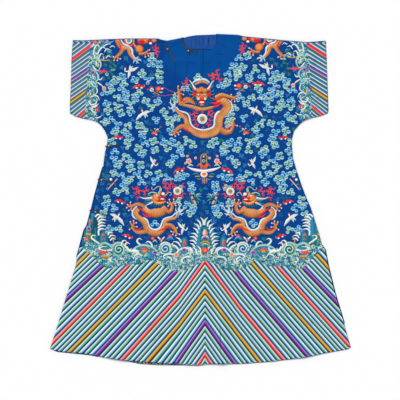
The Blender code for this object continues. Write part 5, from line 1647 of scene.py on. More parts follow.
# Rims of the cuff's water beside the stripes and beside the sleeve.
CUFF_INNER = pairs(
    91.5, 36, 91.3, 45.6, 90, 55.6, 88.6, 67.4, 87.2, 79, 86.6, 89.8, 85.7, 100, 85.4, 111, 87.6, 124,
)
CUFF_OUTER = pairs(
    112, 36, 105, 45, 98.4, 54, 99.8, 61, 98.4, 68, 96.4, 76, 98.2, 84, 95, 92, 97.4, 100, 96.4, 108,
    98.4, 124,
)
CUFF_WAVES = [
    *strokes("foam", (1.7, 93.5, 55, 95, 47.6, 98, 45.2, 100.4, 48.4),
        (1.6, 98, 54, 100, 49.6, 103.4, 47.4, 106.8, 50), (1.5, 99, 58.4, 101, 54, 103.8, 55),
        (1.4, 103.4, 46.8, 107, 44.4, 111, 44.2)),
    Dot("bud", 95.4, 42.4, 2.1), Dot("mint", 101, 42, 2.2), Dot("lilac", 105, 40.8, 1.3, 1.4),
    *strokes("sky", (3, 106, 42, 110, 43, 114, 41)),
    *strokes("crest", (2.4, 91, 63, 93.6, 59, 96.8, 57.2, 100, 60.6, 101.2, 65.4, 99, 70.4)),
    Dot("petal", 96.8, 64.4, 2.1, 1.3, 60), *strokes("foam", (1.5, 92.6, 65.6, 95.4, 69.4, 99.4, 71.4)),
    Dot("lilac", 92.8, 72.6, 2.3, 1.1), *strokes("crest", (2.3, 95, 70.6, 98, 74.6, 98.6, 79, 95.6, 82.6)),
    *strokes("foam", (1.5, 97.6, 79, 100.8, 79.8, 103, 77), (1.5, 97.6, 82.6, 101, 85, 103.8, 87.4)),
    *strokes("crest", (2.2, 91.6, 80, 93.6, 86, 98, 86.4)),
    *strokes("foam", (1.4, 96.6, 87.6, 97.4, 92, 94.2, 95.4)), Dot("deep", 92.6, 99.2, 3.2),
    Dot("gold", 89.6, 95.2, 2.2),
    *strokes("foam", (1.5, 93.6, 95, 97.4, 96.4, 99.8, 100.6),
        (1.6, 88.6, 101, 91.2, 104.8, 95.8, 103.8, 98, 99.4), (1.5, 91.6, 107, 95.4, 107, 98.8, 103.6)),
    Dot("bud", 97.6, 109.8, 2.1, 0.8), *strokes("foam", (1.4, 96, 113.4, 92, 110.4, 93.4, 107)),
    *strokes("deep", (3.2, 88.6, 112, 92, 114.6, 96.6, 116)),
    *strokes("foam", (1.4, 95.6, 118, 99, 117.6, 102, 115.4)),
    *strokes("gold", (1.3, 99.8, 59.8, 104, 60.8, 109.8, 60.2)),
    *strokes("red", (2.4, 98.4, 71.6, 103, 71.6, 108.8, 71.6), (1.5, 101, 73.8, 103.4, 70.6, 104.8, 69)),
    *strokes("foam", (1.2, 104.6, 52, 107, 49, 110.4, 50), (1.2, 106, 58.4, 108.4, 56, 111.4, 57.6),
        (1.1, 110, 47.4, 113, 46, 115, 47.8)),
    *strokes("mint", (1.6, 101.6, 61, 104, 58.6, 103.4, 55.6)),
    *strokes("sky", (1.6, 107.4, 53.6, 110, 52.4, 112.4, 54)),
    *strokes("leaf", (1.6, 100, 50.4, 101.8, 46.6, 105, 46), (1.8, 94.4, 61, 96.4, 64, 95.2, 67.4)),
    *strokes("sky", (1.8, 93, 84.6, 95.4, 81.4, 94.6, 77)),
    *strokes("leaf", (1.8, 90.6, 88.4, 93.6, 91, 92.6, 94)),
    *strokes("mint", (1.6, 91, 118, 94.6, 119.4, 98, 121)),
]
# A little curl of the water, and the threads that it is worked in.
CURL = pairs(-1.4, 0.9, -0.7, -0.7, 0.7, -0.8, 1.4, 0.5)
CURL_THREADS = (("cream", "pale"), ("leaf", "mint"), ("azure", "sky"), ("mint", "pale"), ("cobalt", "azure"),
                ("teal", "leaf"), ("pale", "white"), ("pine", "teal"), ("cobalt", "cobalt"), ("pine", "pine"))


def hill(item):
    """Arched layers one inside the other, each a little higher than the last."""
    layers = []
    for number, name in enumerate(HILL_SHADES):
        inset = number * item.half / (len(HILL_SHADES) + 0.6)
        half, top = item.half - inset, item.top + 1.35 * inset
        arc = [(item.x + half * x, top + (item.foot - top) * y) for x, y in HILL_ARC]
        foot = [(item.x + half * x, item.foot + 0.5) for x, _ in HILL_ARC]
        layers.append(loft(arc, foot, (name, name), 0.5 + 0.14 * number, 4))
    return join(layers)


def strewn(corner, far_corner, spacing, seed):
    """Places strewn over a box: a grid spacing apart, each shifted at random within its cell, with a random
    number that picks and turns what lies there."""
    draws = np.random.default_rng(seed)
    (x0, y0), (x1, y1) = corner, far_corner
    x, y = (part.ravel() for part in np.meshgrid(np.arange(x0, x1, spacing), np.arange(y0, y1, spacing)))
    shift = draws.uniform(0.0, spacing, (2, x.size))
    return np.stack([x + shift[0], y + shift[1], draws.uniform(0.0, 1.0, x.size)], 1)


def curls(corner, far_corner, inside, spacing):
    """Little curls of water strewn over a box, those that lie inside. One random number each picks the
    thread, and its further digits the height, turn and size."""
    shapes = [ribbon(CURL, (0.5, 1.0, 0.25), names, 0.45, 0.95, 4, 1.1) for names in CURL_THREADS]
    made = []
    for x, y, pick in strewn(corner, far_corner, spacing, CURL_SEED):
        if inside(x, y):
            shape = raised(shapes[int(pick * len(shapes))], 0.4 * (pick * 101.0 % 1.0))
            made.append(put(shape, x, y, 3600.0 * pick, 0.8 + 0.5 * (pick * 37.0 % 1.0)))
    return join(made)


def wave_band(spacing):
    """The skirt band: water between its rims, curls, spirals, foam and the hills that stand in it."""
    left = np.array(BAND_TOP)
    right = np.stack([2 * WAVE_AXIS - left[::-1, 0], left[::-1, 1]], 1)
    top = np.concatenate([left, right[1:]])
    low = np.stack([top[:, 0], np.interp(top[:, 0], BAND_X, BAND_Y) + 1.0], 1)
    fine_x = np.arange(83.0, 325.0, 1.5)
    fine_top = np.stack([fine_x, np.interp(fine_x, top[:, 0], top[:, 1])], 1)
    fine_low = np.stack([fine_x, np.interp(fine_x, BAND_X, BAND_Y) + 0.8], 1)
    water = loft(fine_top, fine_low, ("azure", "teal", "azure", "teal"), 1.1, 9)

    def wet(x, y):
        aside = WAVE_AXIS - abs(x - WAVE_AXIS)
        if any(np.hypot(aside - a, y - b) < radius for a, b, radius in CALM):
            return False
        return np.interp(x, top[:, 0], top[:, 1]) + 1 < y < np.interp(x, low[:, 0], low[:, 1]) - 0.6

    spirals = [coil(*spiral, 1.05, ("mint", "white"), 0.6, 1.5, 200) for spiral in SPIRALS]
    flower = put(draw(BLOSSOM, WAVE_LIFT), 176.4, 254.8, 0, 0.95)
    hills = [hill(item) for item in HILLS]
    half = join([draw(WAVES), *spirals, *hills, draw(WAVE_JEWELS, WAVE_LIFT), flower])
    parts = [water, curls((84, 238), (324, 272), wet, spacing), hill(MIDDLE_HILL), draw(HILL_MIDDLE, 1.3)]
    return join([*parts, half, raised(mirrored(half, WAVE_AXIS), 0.45 * LAYER)])


def cuff_band(spacing):
    """The cuff's band of water and foam, beside its stripes."""
    y = np.arange(36.0, 124.0, 1.5)
    rims = [np.array(rim) for rim in (CUFF_INNER, CUFF_OUTER)]
    inner, outer = [np.stack([np.interp(y, rim[:, 1], rim[:, 0]), y], 1) for rim in rims]
    water = loft(inner, outer, ("azure", "teal", "azure"), 1.1, 6)

    def wet(x, y):
        near, far = (np.interp(y, rim[:, 1], rim[:, 0]) for rim in rims)
        return near + 0.6 < x < far - 0.8

    return join([water, curls((85, 40), (106, 121), wet, spacing), draw(CUFF_WAVES)])


# ---- Toggles ----


def hairpin(route, end_radius, end_points, leg_space):
    """Points of a cord doubled along a route: out on one side, round the route's first point and back."""
    run = np.gradient(route[:, :2], axis=0)
    run /= np.linalg.norm(run, axis=1, keepdims=True)
    aside = np.pad(np.stack([-run[:, 1], run[:, 0]], 1), ((0, 0), (0, 1)))
    legs = [route[1:] + side * leg_space * aside[1:] for side in (1.0, -1.0)]
    open_angle = np.arcsin(min(1.0, leg_space / end_radius))
    heading = np.arctan2(run[0, 1], run[0, 0])
    turn = heading + np.linspace(open_angle, 2 * np.pi - open_angle, end_points)
    round_end = stack(
        route[0, 0] + end_radius * np.cos(turn),
        route[0, 1] + end_radius * np.sin(turn),
        np.full(end_points, route[0, 2]),
    )
    return np.concatenate([legs[0][::-1], round_end, legs[1]])


def capped(body, first, last):
    """Points and triangles of a tube's rings, (rings, spokes, 3), closed by a point before and one after."""
    rings, spokes = body.shape[:2]
    index = np.arange(rings * spokes).reshape(rings, spokes)
    index = np.concatenate([index, index[:, :1]], 1)
    a, b = index[:-1, :-1].ravel(), index[:-1, 1:].ravel()
    c, d = index[1:, 1:].ravel(), index[1:, :-1].ravel()
    ends = [np.full(spokes, rings * spokes + end) for end in (0, 1)]
    faces = np.concatenate([
        np.stack([a, b, c], 1), np.stack([a, c, d], 1),
        np.stack([index[0, 1:], index[0, :-1], ends[0]], 1),
        np.stack([index[-1, :-1], index[-1, 1:], ends[1]], 1),
    ])
    return outwards(np.concatenate([body.reshape(-1, 3), [first], [last]]), faces)


def twisted(line, radius, strands, pitch, spokes):
    """Points and triangles of a laid cord along a line: its radius rises and falls with each strand as they
    wind round it, once in pitch, and both ends draw in to a point."""
    run = np.gradient(line, axis=0)
    run /= np.linalg.norm(run, axis=1, keepdims=True)
    aside = np.cross(run, (0.0, 0.0, 1.0))
    aside /= np.linalg.norm(aside, axis=1, keepdims=True)
    up = np.cross(aside, run)
    along = run_of(line)
    angle = np.linspace(0.0, 2 * np.pi, spokes, endpoint=False)
    lay = strands * (angle[None] - 2 * np.pi * along[:, None] / pitch)
    reach = radius * (1.0 - 0.2 * np.abs(np.sin(lay / 2)))
    from_end = np.minimum(along, along[-1] - along) / radius
    reach = reach * np.sqrt(np.clip(1.0 - (1.0 - np.clip(from_end, 0.0, 1.0)) ** 2, 0.0, 1.0))[:, None]
    ring = aside[:, None] * np.cos(angle)[None, :, None] + up[:, None] * np.sin(angle)[None, :, None]
    return capped((line[:, None] + ring * reach[..., None])[1:-1], line[0], line[-1])


def ball_button(centre, radius):
    """A hollow brass ball pressed in eight flutes, with a small boss on top: a sphere whose radius follows
    the flutes and rises at the boss."""
    polar = np.linspace(0.0, np.pi, 22)[1:-1]
    angle = np.linspace(0.0, 2 * np.pi, 32, endpoint=False)
    flute = 0.045 * np.abs(np.sin(4 * angle))[None] * np.sin(polar)[:, None] ** 2
    boss = 0.10 * np.exp(-((polar / 0.32) ** 4))
    belt = -0.03 * np.exp(-(((polar - np.pi / 2) / 0.09) ** 2))
    reach = radius * (BALL_SHARE + flute + boss[:, None] * 0.4 + belt[:, None])
    x = centre[0] + reach * np.sin(polar)[:, None] * np.cos(angle)
    y = centre[1] + reach * np.sin(polar)[:, None] * np.sin(angle)
    z = centre[2] + reach * np.cos(polar)[:, None]
    top = (centre[0], centre[1], centre[2] + radius * BOSS_TOP)
    foot = (centre[0], centre[1], centre[2] - radius * BALL_SHARE)
    return capped(stack(x, y, z), top, foot)


def toggle_lines(number, item, cord_radius):
    """Lines of one toggle's loop and strap, and the middle of its ball, as the frame has them."""
    cord_level = LAYERS_ON_RIGHT * (WALL + GAP) + cord_radius
    centre = np.array([item.button[0] * MM, item.button[1] * MM, cord_level])
    beside_cord = cord_radius + GAP / 2
    loop = [(*(value * MM for value in point), cord_level) for point in item.loop]
    if number >= FIRST_SIDE_TOGGLE:
        way = np.array(loop[-1][:2]) - centre[:2]
        way = way / np.linalg.norm(way) * DROP
        out = np.array(loop[-1])
        for share, height in OVER_THE_EDGE:
            level = LOW_END + (cord_level - LOW_END) * height
            loop.append((out[0] + way[0] * share, out[1] + way[1] * share, level))
    loop_line = hairpin(np.array([centre, *loop]), EYE_RADIUS, 9, beside_cord)
    end = np.array([item.strap[0] * MM, item.strap[1] * MM, cord_level])
    way = (end - centre) / np.linalg.norm(end - centre)
    start = centre + way * (EYE_RADIUS + 2 * cord_radius + GAP + beside_cord)
    strap_route = np.array([start, start * 0.5 + end * 0.5, end])
    return loop_line, hairpin(strap_route, beside_cord, 3, beside_cord), centre


# ---- Materials ----

# Real threads lie 0.1 mm apart. Here they are metres apart as below, or they wouldn't show.
SATIN_WEFT, SATIN_WARP, PLAIN_WEFT = 0.0011, 0.0017, 0.0012
# One stitch beside the next, in millimetres: real ones lie 0.2 mm apart, too fine to show.
FLOSS_PITCH, GOLD_PITCH = 1.7, 1.5


def add(tree, kind, values=None, links=None, **settings):
    """Adds a node with its settings, the values of its sockets and the outputs that feed them."""
    made = tree.nodes.new(kind)
    for key, value in settings.items():
        setattr(made, key, value)
    for key, value in (values or {}).items():
        made.inputs[key].default_value = value
    for key, source in (links or {}).items():
        tree.links.new(source, made.inputs[key])
    return made


def band_scale(period):
    """The Wave Texture's scale for bands a period apart, as it turns 20 radians in a unit at scale 1."""
    return 2 * np.pi / 20 / period


def finish(name, **values):
    """A new material with one shader, its constants set on the shader's own sockets."""
    made = bpy.data.materials.new(name)
    made.use_nodes = True
    tree = made.node_tree
    shader = tree.nodes["Principled BSDF"]
    for key, value in values.items():
        shader.inputs[key.replace("_", " ")].default_value = value
    return made, tree, shader


def feed(tree, shader, colour, **others):
    """Links a colour and other outputs to the shader's sockets."""
    for key, source in {"Base Color": colour, **others}.items():
        tree.links.new(source, shader.inputs[key])


def painted_crease_light():
    """Painted shade and painted highlight of the creases: how much darker or lighter each mark paints the
    cloth.
    For each mark, its own stretched and turned space, in which the distance from its middle gives a soft
    spindle. Their product comes in over the robe's back."""
    group = bpy.data.node_groups.get("painted crease shade and highlight")
    if group:
        return group
    group = bpy.data.node_groups.new("painted crease shade and highlight", "ShaderNodeTree")
    group.interface.new_socket("Tone", in_out="OUTPUT", socket_type="NodeSocketFloat")
    where = add(group, "ShaderNodeTexCoord").outputs["Object"]
    total = None
    for mark in PAINTED_CREASE_MARKS:
        x1, x2 = ((x - MIDDLE[0]) * SQUARE for x in (mark.x1, mark.x2))
        y1, y2 = ((MIDDLE[1] - y) * SQUARE for y in (mark.y1, mark.y2))
        inside = add(group, "ShaderNodeMapping", {
            "Location": ((x1 + x2) / 2, (y1 + y2) / 2, 0.0),
            "Rotation": (0.0, 0.0, np.arctan2(y2 - y1, x2 - x1)),
            "Scale": (np.hypot(x2 - x1, y2 - y1) / 2, mark.width * SQUARE / 2, 1.0)}, {"Vector": where},
            vector_type="TEXTURE")
        away = add(group, "ShaderNodeVectorMath", {}, {0: inside.outputs[0]}, operation="LENGTH")
        tone = add(group, "ShaderNodeMapRange", {"To Min": mark.tone}, {"Value": away.outputs["Value"]},
                   interpolation_type="SMOOTHSTEP").outputs["Result"]
        if total:
            tone = add(group, "ShaderNodeMath", {}, {0: total, 1: tone}, operation="MULTIPLY").outputs[0]
        total = tone
    height = add(group, "ShaderNodeSeparateXYZ", {}, {"Vector": where}).outputs["Z"]
    above = add(group, "ShaderNodeMapRange", {"From Min": MARK_LEVELS[0], "From Max": MARK_LEVELS[1]},
                {"Value": height})
    mixed = add(group, "ShaderNodeMix", {"A": 1.0}, {"Factor": above.outputs["Result"], "B": total},
                data_type="FLOAT")
    add(group, "NodeGroupOutput", {}, {"Tone": mixed.outputs["Result"]})
    return group


def with_painted_crease_light(tree, colour):
    """The colour with the creases' painted shade and painted highlight over it."""
    tone = add(tree, "ShaderNodeGroup", node_tree=painted_crease_light()).outputs["Tone"]
    return add(tree, "ShaderNodeVectorMath", {}, {0: colour, 1: tone}, operation="MULTIPLY").outputs[0]


def woven(tree, shader, coordinates, colour, weft, warp, depth, shade):
    """Colour and bump of a weave: threads a weft and a warp apart, each with its own faint shade, and slubs
    about 40 mm apart along them."""
    threads = [
        add(tree, "ShaderNodeTexWave", {"Scale": band_scale(period), "Distortion": 1.2, "Detail": 1.0,
            "Detail Scale": 1.5}, {"Vector": coordinates}, bands_direction=direction)
        for period, direction in ((weft, "Y"), (warp, "X"))
    ]
    cross = add(tree, "ShaderNodeMath", {}, {0: threads[0].outputs["Fac"], 1: threads[1].outputs["Fac"]},
                operation="MULTIPLY")
    slub = add(tree, "ShaderNodeTexNoise", {"Scale": 26.0, "Detail": 5.0, "Roughness": 0.6},
               {"Vector": coordinates})
    mixed = add(tree, "ShaderNodeMath", {}, {0: cross.outputs[0], 1: slub.outputs["Fac"]},
                operation="MULTIPLY")
    tone = add(tree, "ShaderNodeMapRange", {"From Min": 0.0, "From Max": 0.6, "To Min": 1.0 - shade,
               "To Max": 1.0 + shade}, {"Value": mixed.outputs[0]})
    # The creases' painted shade and highlight are multiplied into the colour here.
    tint = add(tree, "ShaderNodeVectorMath", {}, {0: with_painted_crease_light(tree, colour), 1: tone.outputs["Result"]},
               operation="MULTIPLY")
    bump = add(tree, "ShaderNodeBump", {"Strength": 0.5, "Distance": depth}, {"Height": cross.outputs[0]})
    feed(tree, shader, tint.outputs[0], Normal=bump.outputs["Normal"])


def satin_silk():
    """Woven silk satin, royal blue: long floats give it a soft, low gloss. Inside the plain disc round the
    neck it is bare, and a painted sheen makes it a little lighter than the ground between the stitches.
    Where it is folded or cut, painted shade makes it dark."""
    cloth = bpy.context.scene.robe_cloth
    made, tree, shader = finish("silk satin, royal blue", Roughness=0.5, Sheen_Weight=0.03,
                                Sheen_Roughness=0.4, Specular_IOR_Level=0.03)
    where = add(tree, "ShaderNodeTexCoord").outputs["Object"]
    middle = ((PLAIN_MIDDLE[0] - MIDDLE[0]) * SQUARE, (MIDDLE[1] - PLAIN_MIDDLE[1]) * SQUARE, 0.0)
    away = add(tree, "ShaderNodeVectorMath", {1: middle}, {0: where}, operation="DISTANCE")
    rim = PLAIN_RADIUS * SQUARE
    ground = add(tree, "ShaderNodeMapRange", {"From Min": rim * 0.92, "From Max": rim * 1.08},
                 {"Value": away.outputs["Value"]})
    across_x = add(tree, "ShaderNodeSeparateXYZ", {}, {"Vector": where}).outputs["X"]
    edge = (PLAIN_LEFT - MIDDLE[0]) * SQUARE
    beyond = add(tree, "ShaderNodeMapRange", {"From Min": edge - SQUARE, "From Max": edge, "To Min": 1.0,
                 "To Max": 0.0}, {"Value": across_x})
    covered = add(tree, "ShaderNodeMath", {}, {0: ground.outputs["Result"], 1: beyond.outputs["Result"]},
                  operation="MAXIMUM")
    # The bare disc takes the lighter colour: a painted sheen of the smooth satin.
    blue = add(tree, "ShaderNodeMix", {"A": (*cloth.plain_sheen_blue, 1.0), "B": (*cloth.ground_blue, 1.0)},
               {"Factor": covered.outputs[0]}, data_type="RGBA")
    # Folded and cut edges, where the face tilts away from upright, are painted dark: painted shade.
    facing = add(tree, "ShaderNodeTexCoord").outputs["Normal"]
    upright = add(tree, "ShaderNodeSeparateXYZ", {}, {"Vector": facing}).outputs["Z"]
    level = add(tree, "ShaderNodeMath", {}, {0: upright}, operation="ABSOLUTE")
    # The painted shade: a quarter of the colour where the face is steep, full colour where it lies flat.
    worn = add(tree, "ShaderNodeMapRange", {"From Min": 0.45, "From Max": 0.92, "To Min": 0.25},
               {"Value": level.outputs[0]})
    edge_shaded = add(tree, "ShaderNodeVectorMath", {}, {0: blue.outputs["Result"], 1: worn.outputs["Result"]},
                operation="MULTIPLY")
    woven(tree, shader, where, edge_shaded.outputs[0], SATIN_WEFT, SATIN_WARP, 0.00012, 0.16)
    return made


def plain_silk(name, colour):
    """Plain-woven silk: its short floats make it duller than satin, and it has slubs."""
    made, tree, shader = finish(name, Roughness=0.6, Sheen_Weight=0.03, Sheen_Roughness=0.5,
                                Specular_IOR_Level=0.14)
    where = add(tree, "ShaderNodeTexCoord").outputs["Object"]
    flat = add(tree, "ShaderNodeRGB")
    flat.outputs[0].default_value = (*colour, 1.0)
    woven(tree, shader, where, flat.outputs[0], PLAIN_WEFT, PLAIN_WEFT * 1.3, 0.00015, 0.14)
    return made


def silk_floss(name, pitch, metal=0.0, gloss=0.42):
    """Untwisted silk floss laid in satin stitch: each stitch catches the light along its length, so the shape
    shows fine bars across, in the colours that its points carry. With metal, gold thread runs through it."""
    made, tree, shader = finish(name, Roughness=gloss, Metallic=metal, Sheen_Weight=0.02,
                                Sheen_Roughness=0.35, Specular_IOR_Level=0.2)
    where = add(tree, "ShaderNodeUVMap", uv_map="stitches").outputs["UV"]
    colour = add(tree, "ShaderNodeAttribute", attribute_name="thread").outputs["Color"]
    bars = add(tree, "ShaderNodeTexWave", {"Scale": band_scale(pitch), "Distortion": 0.6, "Detail": 2.0,
               "Detail Scale": 2.0}, {"Vector": where}, bands_direction="X")
    strands = add(tree, "ShaderNodeTexNoise", {"Scale": 1.4, "Detail": 3.0}, {"Vector": where})
    both = add(tree, "ShaderNodeMath", {}, {0: bars.outputs["Fac"], 1: strands.outputs["Fac"]},
               operation="ADD")
    tone = add(tree, "ShaderNodeMapRange", {"From Min": 0.4, "From Max": 1.5, "To Min": 0.84, "To Max": 1.1},
               {"Value": both.outputs[0]})
    # The creases' painted shade and highlight are multiplied into the thread colour here.
    tint = add(tree, "ShaderNodeVectorMath", {}, {0: with_painted_crease_light(tree, colour), 1: tone.outputs["Result"]},
               operation="MULTIPLY")
    bump = add(tree, "ShaderNodeBump", {"Strength": 0.5, "Distance": 0.0002}, {"Height": bars.outputs["Fac"]})
    feed(tree, shader, tint.outputs[0], Normal=bump.outputs["Normal"])
    return made


def silk_cord():
    """Laid silk cord: its loose hairs, about 1 mm apart, make it dull and mottled."""
    colour = bpy.context.scene.robe_toggles.cord_colour
    made, tree, shader = finish("laid silk cord, olive brown", Roughness=0.75, Sheen_Weight=0.3)
    where = add(tree, "ShaderNodeTexCoord").outputs["Object"]
    fuzz = add(tree, "ShaderNodeTexNoise", {"Scale": 900.0, "Detail": 4.0}, {"Vector": where})
    ramp = add(tree, "ShaderNodeMapRange", {"To Min": 0.6, "To Max": 1.5}, {"Value": fuzz.outputs["Fac"]})
    tint = add(tree, "ShaderNodeVectorMath", {0: tuple(colour)}, {1: ramp.outputs["Result"]},
               operation="MULTIPLY")
    bump = add(tree, "ShaderNodeBump", {"Strength": 0.6, "Distance": 0.0002}, {"Height": fuzz.outputs["Fac"]})
    feed(tree, shader, tint.outputs[0], Normal=bump.outputs["Normal"])
    return made


def worn_brass():
    """Pressed brass, polished by fingers and dulled in patches a few millimetres wide."""
    colour = bpy.context.scene.robe_toggles.brass_colour
    made, tree, shader = finish("pressed brass, worn", Metallic=1.0)
    where = add(tree, "ShaderNodeTexCoord").outputs["Object"]
    spots = add(tree, "ShaderNodeTexNoise", {"Scale": 420.0, "Detail": 5.0}, {"Vector": where})
    rough = add(tree, "ShaderNodeMapRange", {"From Min": 0.35, "From Max": 0.7, "To Min": 0.16,
                "To Max": 0.42}, {"Value": spots.outputs["Fac"]})
    tone = add(tree, "ShaderNodeMapRange", {"From Min": 0.3, "From Max": 0.7, "To Min": 0.75, "To Max": 1.05},
               {"Value": spots.outputs["Fac"]})
    tint = add(tree, "ShaderNodeVectorMath", {0: tuple(colour)}, {1: tone.outputs["Result"]},
               operation="MULTIPLY")
    feed(tree, shader, tint.outputs[0], Roughness=rough.outputs["Result"])
    return made


def plain_floss():
    """The floss of all embroidery but the dragons', made once and found again."""
    name = "silk floss, satin stitch"
    return bpy.data.materials.get(name) or silk_floss(name, FLOSS_PITCH)


# ---- Sizes and colours that a user would change ----


def size(default, name, description, **more):
    """A length in metres, shown in the panel."""
    return bpy.props.FloatProperty(name=name, description=description, default=default, unit="LENGTH", **more)


def share_of(default, name, description):
    """A plain factor, shown in the panel."""
    return bpy.props.FloatProperty(name=name, description=description, default=default, min=0.0, soft_max=2.0)


def colour_of(hex_colour, name, description):
    """A colour, shown in the panel."""
    return bpy.props.FloatVectorProperty(
        name=name, description=description, default=linear(hex_colour), subtype="COLOR", size=3,
        min=0.0, max=1.0
    )


class RobeCloth(bpy.types.PropertyGroup):
    """The silk lengths, lining and bindings."""

    row_space: size(0.007, "Row spacing", "Distance between the cloth's cross sections in the front")
    crease_share: share_of(1.35, "Fine creases", "How strong the finer creases are")
    ground_blue: colour_of("#044593", "Ground", "Silk between the embroidery")
    # The bare disc's colour is painted lighter than the ground, as a painted sheen.
    plain_sheen_blue: colour_of("#034f9c", "Plain disc", "Bare silk round the neck")
    lining_blue: colour_of("#174f9c", "Lining", "Lining in the neck")
    navy: colour_of("#111d6c", "Bindings", "Bindings of the side and hem edges")


class RobeFloss(bpy.types.PropertyGroup):
    """Embroidery threads."""

    __annotations__ = {
        "height_share": share_of(1.0, "Padding", "How far the embroidery stands out"),
        "back_share": share_of(0.62, "Padding of the back", "How full the embroidery under the back lies"),
        "stripe_step": share_of(2.2, "Stripe steps", "Squares between points along a stripe"),
        **{name: colour_of(value, name.capitalize(), use) for name, (value, use) in FLOSS.items()},
    }


class RobeToggles(bpy.types.PropertyGroup):
    """Corded loops, straps and ball buttons."""

    cord_radius: size(0.0014, "Cord radius", "Half the width of one cord")
    ball_radius: size(0.0045, "Ball radius", "Half the width of a ball button")
    lay_length: size(0.0075, "Lay", "Length in which a strand winds once round its cord")
    cord_colour: colour_of("#2e2a22", "Cord", "Silk cord")
    brass_colour: colour_of("#e0b45c", "Brass", "Ball buttons")


class RobeStage(bpy.types.PropertyGroup):
    """Floor, light and camera."""

    camera_height: size(8.0, "Camera height", "Of the camera over the floor")
    field: size(SHEET * SQUARE, "Field", "Width that the camera sees on the floor")
    floor_colour: colour_of("#fbfbfb", "Floor", "Pale floor")
    world_light: share_of(0.58, "Room light", "Strength of the even light from all round")
    key_light: bpy.props.FloatProperty(name="Key", description="Strength of the soft lamp", default=1.9)


# ---- Operators ----

CUFF_STEP = 1.8  # squares between points along a cuff's stripe
CURL_SPACE, BACK_CURL_SPACE = 1.4, 2.5  # squares between the curls of the water
INNER_TO = 168.0  # the inner front's clouds lie left of this square
# The pieces that each length of silk carries.
SEWN_ON = {
    "right": ("cuff_stripes_right", "waves_cuff_right", "dragon_shoulder_right", "motifs_inner",
        "clouds_inner", "fillers_inner", "stitches_inner", "right_side_binding_silk", "hem_binding_silk",
        "stripes_under_hem", "stripes_back", "waves_back", "dragons_back", "motifs_back"),
    "left": ("cuff_stripes_left", "waves_cuff_left", "dragon_shoulder_left", "skirt_stripes_left",
        "left_side_binding_silk"),
    "overlap": ("skirt_stripes_right", "waves_skirt", "dragon_front", "dragons_side", "motifs_outer",
        "clouds_outer", "fillers_outer", "stitches_outer"),
}
FLOOR_SIDE = 14.0  # metres
KEY_SOFTNESS, KEY_TILT = 24.0, (-34.0, -26.0)  # degrees: how wide the lamp looks, and its turns about X and Y
SENSOR = 36.0  # width of the camera's sensor, mm


class ROBE_OT_silk(bpy.types.Operator):
    """Both lengths, the overlap and the lining, in place of the frame's plain walls"""

    bl_idname = "robe.silk"
    bl_label = "Silk"

    def execute(self, context):
        cloth = context.scene.robe_cloth
        satin, row = satin_silk(), cloth.row_space
        length("left_silk", 1, LEFT_EDGE, LEFT_NECK, left_front_lift, satin, row, row, ["left_length"])
        length("right_silk", -1, RIGHT_EDGE, RIGHT_NECK, right_front_lift, satin, row, 3 * row,
               ["right_length"])
        overlap(satin, row)
        lining(plain_silk("lining silk", cloth.lining_blue))
        return {"FINISHED"}


class ROBE_OT_stripes(bpy.types.Operator):
    """Skirt and cuff stripes in satin stitch, on the front and the back"""

    bl_idname = "robe.stripes"
    bl_label = "Stripes"

    def execute(self, context):
        floss, step = plain_floss(), context.scene.robe_floss.stripe_step
        left, right = skirt(step)
        sew("skirt_stripes_right", left, "outer", floss)
        sew("skirt_stripes_left", right, "outer", floss)
        right_cuff = cuff(LEFT_CUFF, np.arange(66.0, 95.0, CUFF_STEP))
        left_cuff = cuff(RIGHT_CUFF, np.arange(332.0, 305.0, -CUFF_STEP))
        sew("cuff_stripes_right", right_cuff, "inner", floss)
        sew("cuff_stripes_left", left_cuff, "outer", floss)
        sew("stripes_back", join([join(skirt(3 * step)), right_cuff, left_cuff]), "back", floss)
        sew("stripes_under_hem", hem_sliver(), "hem", floss)
        return {"FINISHED"}


class ROBE_OT_waves(bpy.types.Operator):
    """Water, foam and hills of the skirt band and of both cuffs"""

    bl_idname = "robe.waves"
    bl_label = "Waves"

    def execute(self, context):
        floss = plain_floss()
        sew("waves_skirt", wave_band(CURL_SPACE), "outer", floss)
        band = cuff_band(CURL_SPACE)
        sew("waves_cuff_right", band, "inner", floss)
        sew("waves_cuff_left", twin(band), "outer", floss)
        band = cuff_band(BACK_CURL_SPACE)
        sew("waves_back", join([wave_band(BACK_CURL_SPACE), band, twin(band)]), "back", floss)
        return {"FINISHED"}


class ROBE_OT_dragons(bpy.types.Operator):
    """Dragons, cranes, bats, clouds and the other motifs"""

    bl_idname = "robe.dragons"
    bl_label = "Dragons, motifs and clouds"

    def execute(self, context):
        gold = silk_floss("silk floss with gold thread", GOLD_PITCH, 0.12, 0.38)
        floss = plain_floss()
        side = dragon(SIDE_DRAGON, SIDE_WRISTS, SIDE_TUFT)
        shoulder = dragon(SHOULDER_DRAGON, SHOULDER_WRISTS, SHOULDER_TUFT)
        middle, sides = main_dragon(), join([side, twin(side)])
        sew("dragon_front", middle, "outer", gold)
        sew("dragons_side", sides, "outer", gold)
        sew("dragon_shoulder_right", shoulder, "inner", gold)
        sew("dragon_shoulder_left", twin(shoulder), "outer", gold)
        dragons = join([middle, sides, shoulder, twin(shoulder)])
        sew("dragons_back", dragons, "back", gold)
        paired = placed(PAIRED)
        motifs = join([*paired, *(twin(shape) for shape in paired), draw([*EMBLEM, *LOOSE_LINES])])
        sew("motifs_outer", motifs, "outer", floss)
        sew("motifs_inner", join(paired), "inner", floss)
        field = cloud_field()
        clouds = join(shape for _, shape in field)
        small = fillers([dragons, motifs, clouds])
        sew("clouds_outer", clouds, "outer", floss)
        sew("clouds_inner", join(shape for item, shape in field if item.x < INNER_TO), "inner", floss)
        sew("fillers_outer", small, "outer", floss)
        sew("fillers_inner", small, "inner", floss)
        sew("motifs_back", join([motifs, clouds]), "back", floss)
        return {"FINISHED"}


